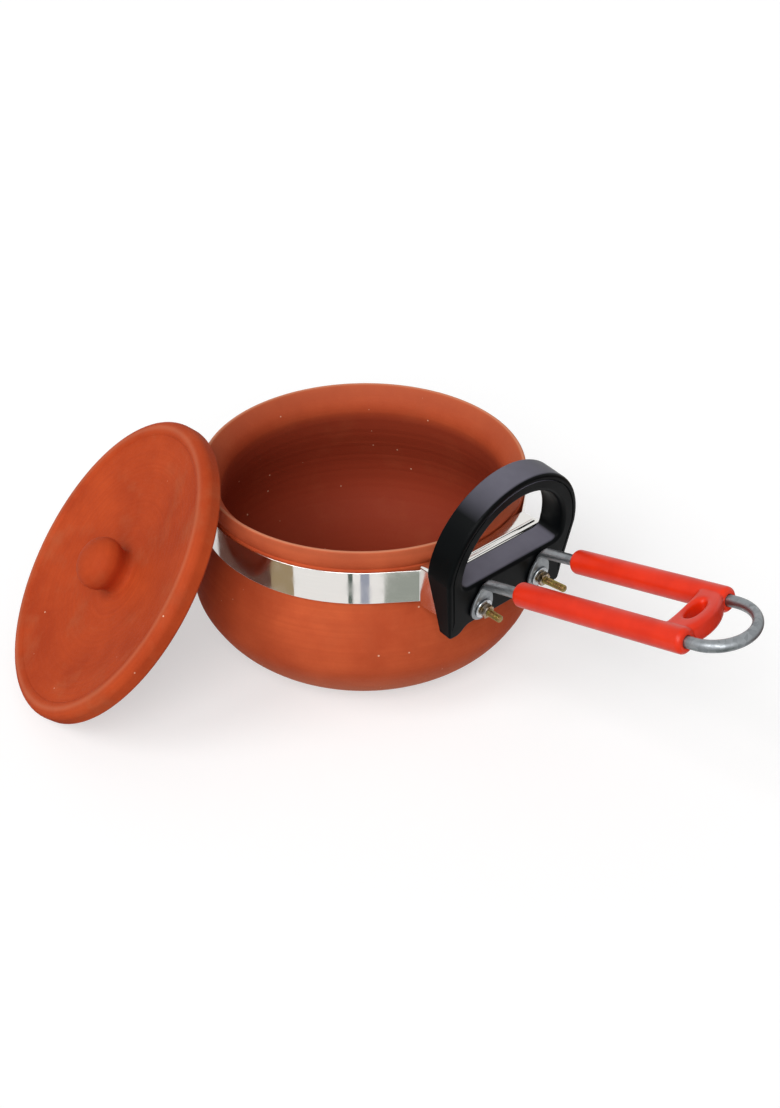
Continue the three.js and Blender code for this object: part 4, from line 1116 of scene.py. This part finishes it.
class POT_OT_loop(bpy.types.Operator):
    """Mould the loop handle"""
    bl_idname = "clay_pot.loop"
    bl_label = "Loop Handle"

    def execute(self, context):
        sizes = context.scene.clay_pot
        made, loop = plan(sizes), sizes.loop
        outline = loop_outline(loop, made)
        # The front edge and its groove fade out towards the small corners of the feet.
        fade_low, fade_high = -10 * MM, -3 * MM
        foot_share = 0.5     # what is left of the insets at the feet
        limb = smooth_step(fade_low, fade_high, outline[:, 1])
        narrow = foot_share + (1 - foot_share) * limb
        edges = rounded_rows(loop.depth, loop.back_round, loop.front_round)
        rows = [(inset * narrow, depth) for inset, depth in edges]
        # Section of the groove in shares of its width and its depth.
        section = ((0, 0), (0.15, 0.75), (0.35, 1), (0.65, 1), (0.85, 0.75), (1, 0))
        groove = loop.groove_depth * limb
        for across, deep in section:
            inset = loop.groove_inset + loop.groove_width * across
            rows.append((inset * narrow, loop.depth - groove * deep))
        window = rounded_rows(loop.depth, loop.back_round, loop.window_round)
        loops = [(outline, rows), (loop_window(loop, made), window), *bolt_holes(made, loop.depth)]
        flat, faces = moulded(loops, made.heel_top)
        across, up, depth = flat.T
        heel = made.heel_slope * np.maximum(made.heel_top - up, 0)
        points = np.stack([depth + heel * (1 - depth / loop.depth), across, up], 1)
        piece = solid("phenolic_loop", points, faces)
        phenolic = moulded_phenolic("Moulded phenolic", sizes.finish)
        dress(piece, made.handle, "side_handle", phenolic, crease=30)
        even_normals(piece)
        return {"FINISHED"}


# Fasteners

def hexagon(turns, corner):
    """Distance from the middle to the side of a hexagon in each direction."""
    return corner * math.cos(math.pi / 6) / np.cos(np.mod(turns, math.pi / 3) - math.pi / 6)


def stack_rings(rows, turns, y):
    """Rings along X from rows of place and radius."""
    rings = []
    for x, radius in rows:
        r = np.broadcast_to(radius, len(turns))
        rings.append(np.stack([np.broadcast_to(x, len(turns)), y + r * np.cos(turns), r * np.sin(turns)], 1))
    return rings


def hex_rows(back, front, corner, turns):
    """Rows of a hexagon body whose corners are turned off to a cone at both ends."""
    cone_height, cone_share = 0.5 * MM, 0.96    # the cone starts a little inside the flats
    flats = hexagon(turns, corner)
    face = corner * math.cos(math.pi / 6) * cone_share
    rows = []
    for share in np.linspace(0, 1, num=7):
        rows.append((back + cone_height * share, np.minimum(flats, face + (corner - face) * share)))
    return rows + [(front + back - x, r) for x, r in rows[::-1]]


def threaded(x, turns, radius, pitch):
    """Radius of a screw thread along X in each direction."""
    depth, steepness, flat = 0.6 * pitch, 1.35, 0.15
    wave = np.abs(2 * np.mod(x / pitch - turns / TURN, 1) - 1)
    return radius - depth * np.clip(steepness * wave - flat, 0, 1)


def bolt_sides(sizes, made):
    """Name, place, reach and tilt of the fasteners on the near and the far side."""
    bolts = sizes.bolts
    return [("near", -made.leg_y, bolts.reach_near, bolts.tilt_near),
            ("far", made.leg_y, bolts.reach_far, bolts.tilt_far)]


def knocked(points, start, tilt):
    """Points of a bolt with its end knocked upward past a place along it."""
    bend = 3 * MM
    x, y, z = points.T
    past = np.maximum(x - start, 0)
    turn = tilt * smooth_step(0, bend, past)
    along = x - past * (1 - np.cos(turn)) - z * np.sin(turn)
    return np.stack([along, y, z * np.cos(turn) + past * np.sin(turn)], 1)


class POT_OT_bolts(bpy.types.Operator):
    """Turn the two threaded bolts"""
    bl_idname = "clay_pot.bolts"
    bl_label = "Bolts"

    def execute(self, context):
        sizes = context.scene.clay_pot
        made, bolts, colours = plan(sizes), sizes.bolts, sizes.finish
        thread_step = 0.07 * MM
        blunt_from, blunt_to = 0.74, 0.7    # shares of the radius just short of the tip and at it
        turns = round_turns(DRILL_SIDES)
        plate = made.heel_slope * made.heel_top
        plate -= (2 * SEAT_GAP + sizes.guard.wall) * math.hypot(1, made.heel_slope)
        seat = plate - bolts.hex_radius * made.heel_slope
        finish = zinc_plate(
            "Yellow passivated zinc", colours.passivate, colours.passivate_green, tint_share=0.8)
        for name, y, reach, tilt in bolt_sides(sizes, made):
            tip = made.nut_front + reach
            rows = hex_rows(seat - bolts.head, seat, bolts.hex_radius, turns)
            rows += [(seat, bolts.bolt_radius), (made.lug_back, bolts.bolt_radius)]
            for x in np.arange(made.lug_back + thread_step, tip, thread_step):
                blunt = bolts.bolt_radius * blunt_from + (tip - x)
                rows.append((x, np.minimum(threaded(x, turns, bolts.bolt_radius, bolts.pitch), blunt)))
            rows.append((tip, bolts.bolt_radius * blunt_to))
            points, faces = skin(stack_rings(rows, turns, y))
            piece = solid(f"threaded_bolt_{name}", knocked(points, made.nut_front, tilt), faces)
            dress(piece, made.handle, f"bolt_{name}", finish, crease=50)
        return {"FINISHED"}


class POT_OT_washers(bpy.types.Operator):
    """Stamp the two washers"""
    bl_idname = "clay_pot.washers"
    bl_label = "Washers"

    def execute(self, context):
        sizes = context.scene.clay_pot
        made, bolts, colours = plan(sizes), sizes.bolts, sizes.finish
        turns = round_turns(sides=72)
        width = bolts.washer_radius - made.hole
        section = strip_section(bolts.washer_thickness, width)
        finish = zinc_plate("Bright zinc plate", colours.plate, colours.zinc_dark, tint_share=0.4)
        for name, y, *_ in bolt_sides(sizes, made):
            middle = made.washer_back + bolts.washer_thickness / 2
            rows = [(middle + x, made.hole + width / 2 + r) for x, r in section]
            piece = solid(f"stamped_washer_{name}", *skin(stack_rings(rows, turns, y), looped=True))
            dress(piece, made.handle, f"washer_{name}", finish)
        return {"FINISHED"}


class POT_OT_nuts(bpy.types.Operator):
    """Forge the two nuts"""
    bl_idname = "clay_pot.nuts"
    bl_label = "Nuts"

    def execute(self, context):
        sizes = context.scene.clay_pot
        made, bolts, colours = plan(sizes), sizes.bolts, sizes.finish
        thread_gap, sink = 0.05 * MM, 0.3 * MM
        turns = round_turns(sides=96)
        bore = bolts.bolt_radius + thread_gap
        finish = zinc_plate("Yellow passivated zinc, nut", colours.passivate, colours.plate, tint_share=0.4)
        for name, y, *_ in bolt_sides(sizes, made):
            rows = hex_rows(made.nut_back, made.nut_front, bolts.hex_radius, turns)
            rows += [(made.nut_front, bore + sink), (made.nut_front - sink, bore)]
            rows += [(made.nut_back + sink, bore), (made.nut_back, bore + sink)]
            piece = solid(f"hexagon_nut_{name}", *skin(stack_rings(rows, turns, y), looped=True))
            dress(piece, made.handle, f"nut_{name}", finish, crease=25)
        return {"FINISHED"}


# Wire handle and grip

def wire_ring(place, width_way, thick_way, half_width, half_thick, squareness, sides=40):
    """Ring of the wire, round where its squareness is 2 and flattened where it is higher."""
    turns = TURN * (np.arange(sides) + 0.5) / sides
    c, s = np.cos(turns), np.sin(turns)
    across = half_width * np.sign(c) * np.abs(c) ** (2 / squareness)
    through = half_thick * np.sign(s) * np.abs(s) ** (2 / squareness)
    return np.array(place) + across[:, None] * np.array(width_way) + through[:, None] * np.array(thick_way)


def lug_rings(side, sizes, made):
    """Rings of one end of the wire in the handle frame: round-ended lug, neck and bend up to the leg."""
    wire = sizes.wire
    y = side * made.leg_y
    turn_end = math.pi / 2 - wire.rise - sizes.loop.lean
    bend_start = wire.leg_above_bolt - wire.bend * math.tan(turn_end / 2)
    half = wire.lug_thickness / 2
    neck = wire.radius + wire.spread
    end_steps, neck_steps, bend_steps = 14, 14, 18
    flat, pressed, plain = 7, 4, 2    # squareness of the lug, of its neck and of the wire
    first_step, neck_taper = 0.4, 2.2    # first ring short of the tip, and how late the neck narrows
    across = (0, -side, 0)
    rings = []
    for a in np.pi / 2 * (np.arange(end_steps) + first_step) / (end_steps - 1 + first_step):
        place = (made.lug_middle, y, -wire.lug_radius * math.cos(a))
        rings.append(wire_ring(place, across, (-1, 0, 0), wire.lug_radius * math.sin(a), half, flat))
    for share in np.arange(1, neck_steps + 1) / neck_steps:
        width = wire.lug_radius + (neck - wire.lug_radius) * share ** neck_taper
        place = (made.lug_middle, y, share * bend_start)
        squareness = flat + (pressed - flat) * share
        rings.append(wire_ring(place, across, (-1, 0, 0), width, half, squareness))
    for share in np.arange(1, bend_steps + 1) / bend_steps:
        turn = turn_end * share
        out = made.lug_middle + wire.bend * (1 - math.cos(turn))
        place = (out, y, bend_start + wire.bend * math.sin(turn))
        way = (-math.cos(turn), 0, math.sin(turn))
        width = neck + (wire.radius - neck) * share
        thick = half + (wire.radius - half) * share ** 2
        squareness = pressed + (plain - pressed) * share
        rings.append(wire_ring(place, across, way, width, thick, squareness))
    return place_points(rings, made.handle)


def askew(points, grip):
    """Points of the leg frame with the outer end set askew, longer on the near side."""
    return np.asarray(points) - np.asarray(points)[:, 1:2] * (grip.skew, 0, 0)


class POT_OT_wire(bpy.types.Operator):
    """Bend the wire handle and flatten its ends"""
    bl_idname = "clay_pot.wire"
    bl_label = "Wire Handle"

    def execute(self, context):
        sizes = context.scene.clay_pot
        made, wire = plan(sizes), sizes.wire
        turned = []
        for a in np.radians(np.linspace(-90, 90, num=41)):
            way = np.array([math.cos(a), math.sin(a), 0])
            place = np.array([made.leg_length, 0, 0]) + way * made.leg_y
            ring = wire_ring(place, -way, (0, 0, 1), wire.radius, wire.radius, squareness=2)
            turned.append(askew(ring, sizes.grip))
        rows = [lug_rings(-1, sizes, made), place_points(turned, made.leg), lug_rings(1, sizes, made)[::-1]]
        piece = solid("galvanised_bail", *skin(np.concatenate(rows)))
        for y in made.legs:
            drill = rod(made.hole, made.lug_back - CUT_PAST, made.washer_back + CUT_PAST, y)
            combine(piece, solid("lug_drill", *skin(place_points(drill, made.handle))), "DIFFERENCE")
        zinc = galvanised_wire("Galvanised wire", sizes.finish)
        dress(piece, Matrix.Identity(4), "wire_handle", zinc, crease=40)
        return {"FINISHED"}


def sleeve_end(grip, made, y):
    """Where a sleeve ends along its leg."""
    return made.grip_end + grip.past_bridge - grip.skew * y


def sleeve_rings(grip, made, y):
    """Rings of one sleeve along X."""
    turns = round_turns(sides=64)
    thin = grip.radius - grip.chamfer
    end = sleeve_end(grip, made, y)
    rows = [(grip.start, thin), (grip.start + grip.chamfer, grip.radius)]
    rows += [(x, grip.radius) for x in np.linspace(grip.start, end, num=40)[2:-2]]
    rows += [(end - grip.chamfer, grip.radius), (end, thin)]
    return stack_rings(rows, turns, y)


def bridge_solid(grip, made):
    """Points and faces of the bridge between the sleeves, with its oval hole, in the leg frame."""
    half = made.leg_y
    middle = made.grip_end - grip.oval_setback
    inner = middle - grip.oval_width / 2 - grip.web
    outer = made.grip_end - grip.chamfer
    # The outer side is a cubic curve, which reaches three quarters of the way to its handles.
    crown = (grip.bulge + grip.chamfer) * 4 / 3
    t = np.linspace(0, 1, num=49)
    across = half * (t ** 3 + 1.5 * (1 - t) * t ** 2 - 1.5 * (1 - t) ** 2 * t - (1 - t) ** 3)
    bulge = np.stack([outer + 3 * t * (1 - t) * crown, across], 1)
    hollow = corner_curve((inner, half), (inner + 2 * grip.hollow, 0), (inner, -half), steps=40)
    outline = np.vstack([bulge, [(inner, half)], hollow])
    turns = np.radians(np.linspace(0, -360, num=65))[:-1]
    oval = np.stack([middle + grip.oval_width / 2 * np.cos(turns), grip.oval_length / 2 * np.sin(turns)], 1)
    rows = rounded_rows(grip.thickness, grip.rounding, grip.rounding)
    points, faces = moulded([(outline, rows), (oval, rows)])
    return askew(points - (0, 0, grip.thickness / 2), grip), faces


class POT_OT_grip(bpy.types.Operator):
    """Mould the red grip over the legs of the wire"""
    bl_idname = "clay_pot.grip"
    bl_label = "Grip"

    def execute(self, context):
        sizes = context.scene.clay_pot
        made, grip = plan(sizes), sizes.grip
        points, faces = bridge_solid(grip, made)
        for y in made.legs:
            more, more_faces = skin(sleeve_rings(grip, made, y))
            faces = faces + [[i + len(points) for i in face] for face in more_faces]
            points = np.vstack([points, more])
        piece = solid("vinyl_grip", points, faces)
        fused = piece.modifiers.new("fused", "REMESH")
        fused.mode = "VOXEL"
        fused.voxel_size = grip.grain
        soft = piece.modifiers.new("soft", "SMOOTH")
        soft.factor = 0.5
        soft.iterations = 14
        settle_modifiers(piece)
        for y in made.legs:
            bore_end = sleeve_end(grip, made, y) + grip.bulge
            bore = rod(sizes.wire.radius + SEAT_GAP, grip.start - CUT_PAST, bore_end, y)
            combine(piece, solid("grip_bore", *skin(bore)), "DIFFERENCE")
        dress(piece, made.leg, "grip_sleeve", moulded_vinyl("Moulded vinyl", sizes.finish), crease=45)
        return {"FINISHED"}


# Stage

def seen_share(tree):
    """Share that is 1 for the eye and for mirrors and glass, and 0 for light that falls on matt surfaces."""
    path = add(tree, "ShaderNodeLightPath").outputs
    clear = add(tree, "ShaderNodeMath", {
        0: path["Is Glossy Ray"], 1: path["Is Transmission Ray"]}, operation="MAXIMUM")
    seen = add(tree, "ShaderNodeMath", {0: path["Is Camera Ray"], 1: clear.outputs[0]}, operation="MAXIMUM")
    return seen.outputs[0]


def floor_material():
    """Pale studio floor that is white to the eye and to polished metal, and keeps the shadow."""
    made, tree = new_material("Pale floor")
    glow = add(tree, "ShaderNodeMapRange", {"Value": seen_share(tree), "To Min": 0.0, "To Max": 0.5})
    shader = add(tree, "ShaderNodeBsdfPrincipled", {
        "Base Color": rgba(linear("#C4C4C4")), "Roughness": 0.9, "Specular IOR Level": 0.0,
        "Emission Color": (1, 1, 1, 1), "Emission Strength": glow.outputs[0]})
    add(tree, "ShaderNodeOutputMaterial", {"Surface": shader.outputs[0]})
    return made


def studio_world():
    """Soft surroundings, plain white to the eye and to polished metal."""
    world = bpy.data.worlds.new("Studio")
    world.use_nodes = True
    tree = world.node_tree
    tree.nodes.clear()
    level = add(tree, "ShaderNodeMapRange", {"Value": seen_share(tree), "To Min": 0.36, "To Max": 1.0})
    light = add(tree, "ShaderNodeBackground", {"Color": (1, 1, 1, 1), "Strength": level.outputs[0]})
    add(tree, "ShaderNodeOutputWorld", {"Surface": light.outputs[0]})
    return world


def soft_sun(name, direction, strength, spread):
    """Wide soft lamp that lights the whole floor evenly, shining from a direction."""
    lamp = bpy.data.lights.new(name, "SUN")
    lamp.energy = strength
    lamp.angle = math.radians(spread)
    made = bpy.data.objects.new(name, lamp)
    made.rotation_euler = Vector(direction).to_track_quat("Z", "Y").to_euler()
    bpy.context.scene.collection.objects.link(made)


def card(name, points, code):
    """Glowing studio card between two rows of points that only polished surfaces see, as a painted
    reflection.
    """
    row = CARD_STEPS + 1
    made = solid(name, points, [[i, i + 1, row + i + 1, row + i] for i in range(CARD_STEPS)])
    material, tree = new_material(name)
    glow = add(tree, "ShaderNodeEmission", {"Color": rgba(linear(code)), "Strength": 1.0})
    add(tree, "ShaderNodeOutputMaterial", {"Surface": glow.outputs[0]})
    made.data.materials.append(material)
    made.visible_camera = False
    made.visible_diffuse = False
    made.visible_shadow = False
    made.visible_transmission = False


def band_card(name, made, eye, first, last, code):
    """Card on the floor that the band mirrors between two angles from its side nearest the camera."""
    margin = 6 * MM
    facing = math.atan2(eye.y, eye.x)
    rows = ([], [])
    for turn in np.radians(np.linspace(first, last, CARD_STEPS + 1)):
        normal = Vector((math.cos(facing + turn), math.sin(facing + turn), 0))
        for row, level in zip(rows, (made.band_bottom - margin, made.band_top + margin)):
            spot = normal * made.band_radius + Vector((0, 0, level))
            way = (spot - eye).normalized().reflect(normal)
            row.append(spot + way * ((CARD_LIFT - spot.z) / way.z))
    card(name, rows[0] + rows[1], code)


def outer_card(name, facing, first, last, code):
    """Card further out on the floor that the band mirrors to an eye lower down."""
    near, far = 300 * MM, 900 * MM
    bearings = facing + 2 * np.radians(np.linspace(first, last, CARD_STEPS + 1))
    ways = np.stack([np.cos(bearings), np.sin(bearings)], 1)
    card(name, np.insert(np.vstack([near * ways, far * ways]), 2, CARD_LIFT, axis=1), code)


class POT_OT_stage(bpy.types.Operator):
    """Set the floor, the lights, the cards and the camera"""
    bl_idname = "clay_pot.stage"
    bl_label = "Stage"

    def execute(self, context):
        sizes = context.scene.clay_pot
        stage = sizes.stage
        right = Vector((math.cos(stage.azimuth), math.sin(stage.azimuth), 0))
        toward = Vector((math.sin(stage.azimuth), -math.cos(stage.azimuth), 0))
        above = Vector((0, 0, 1))
        back = toward * math.cos(stage.elevation) + above * math.sin(stage.elevation)
        up = back.cross(right)
        c, s = math.cos(stage.roll), math.sin(stage.roll)
        axes = Matrix((c * right + s * up, c * up - s * right, back)).transposed()
        eye = right * stage.aim_right + above * stage.aim_up + back * stage.distance
        lens = bpy.data.cameras.new("Camera")
        lens.sensor_width = 36.0
        lens.lens = 55.235
        camera = bpy.data.objects.new("Camera", lens)
        camera.matrix_world = Matrix.Translation(eye) @ axes.to_4x4()
        context.scene.collection.objects.link(camera)
        context.scene.camera = camera
        floor_radius, floor_sides, floor_drop = 6.0, 96, 0.1 * MM
        rim = arc((0, 0), floor_radius, 0, 360, floor_sides)[:-1]
        floor = solid("floor", np.insert(rim, 2, -floor_drop, axis=1), [list(range(floor_sides))])
        floor.data.materials.append(floor_material())
        made = plan(sizes)
        # Painted reflections: glowing cards that only the steel sees, in tones that the band mirrors from
        # left to right, with the angles between which it does.
        tones = (
            ("Dark card", -60, -33, "#66473F"),
            ("Sand card", -33, -24, "#A89474"),
            ("Narrow card", -5.5, -4, "#606C66"),
            ("Cool card", -1.5, 1.5, "#A8ADBE"),
            ("Grey card", 5, 22, "#A4AAA3"),
        )
        for name, first, last, code in tones:
            band_card(name, made, eye, first, last, code)
            for side, turned in (("front", 0), ("behind", math.pi)):
                outer_card(f"{name}, {side}", math.atan2(eye.y, eye.x) + turned, first, last, code)
        key_way = 0.72 * above - 0.6 * right + 0.35 * toward
        fill_way = 0.62 * above - 0.1 * right + 0.78 * toward
        soft_sun("Key", key_way, strength=1.0, spread=30)
        soft_sun("Fill", fill_way, strength=1.75, spread=35)
        context.scene.world = studio_world()
        context.scene.view_settings.view_transform = "Standard"
        return {"FINISHED"}


class POT_PT_panel(bpy.types.Panel):
    """Buttons for the pieces of the pot"""
    bl_idname = "POT_PT_panel"
    bl_label = "Clay Cooking Pot"
    bl_space_type = "VIEW_3D"
    bl_region_type = "UI"
    bl_category = "Clay Pot"

    def draw(self, context):
        for operator in OPERATORS:
            self.layout.operator(operator.bl_idname)


GROUPS = (PotSizes, BandSizes, GuardSizes, LoopSizes, FastenerSizes, WireSizes, GripSizes, LidSizes,
          FinishColours, StageSettings, ClayPotSettings)
OPERATORS = (POT_OT_stage, POT_OT_body, POT_OT_lid, POT_OT_band, POT_OT_guard, POT_OT_loop,
             POT_OT_wire, POT_OT_grip, POT_OT_bolts, POT_OT_washers, POT_OT_nuts)


def register():
    """Adds the settings, operators and panel to Blender."""
    for item in (*GROUPS, *OPERATORS, POT_PT_panel):
        bpy.utils.register_class(item)
    bpy.types.Scene.clay_pot = bpy.props.PointerProperty(type=ClayPotSettings)


def unregister():
    """Takes the settings, operators and panel away again."""
    del bpy.types.Scene.clay_pot
    for item in reversed((*GROUPS, *OPERATORS, POT_PT_panel)):
        bpy.utils.unregister_class(item)


def main():
    """Builds every piece."""
    register()
    for operator in OPERATORS:
        group, name = operator.bl_idname.split(".")
        getattr(getattr(bpy.ops, group), name)()


if __name__ == "__main__":
    main()
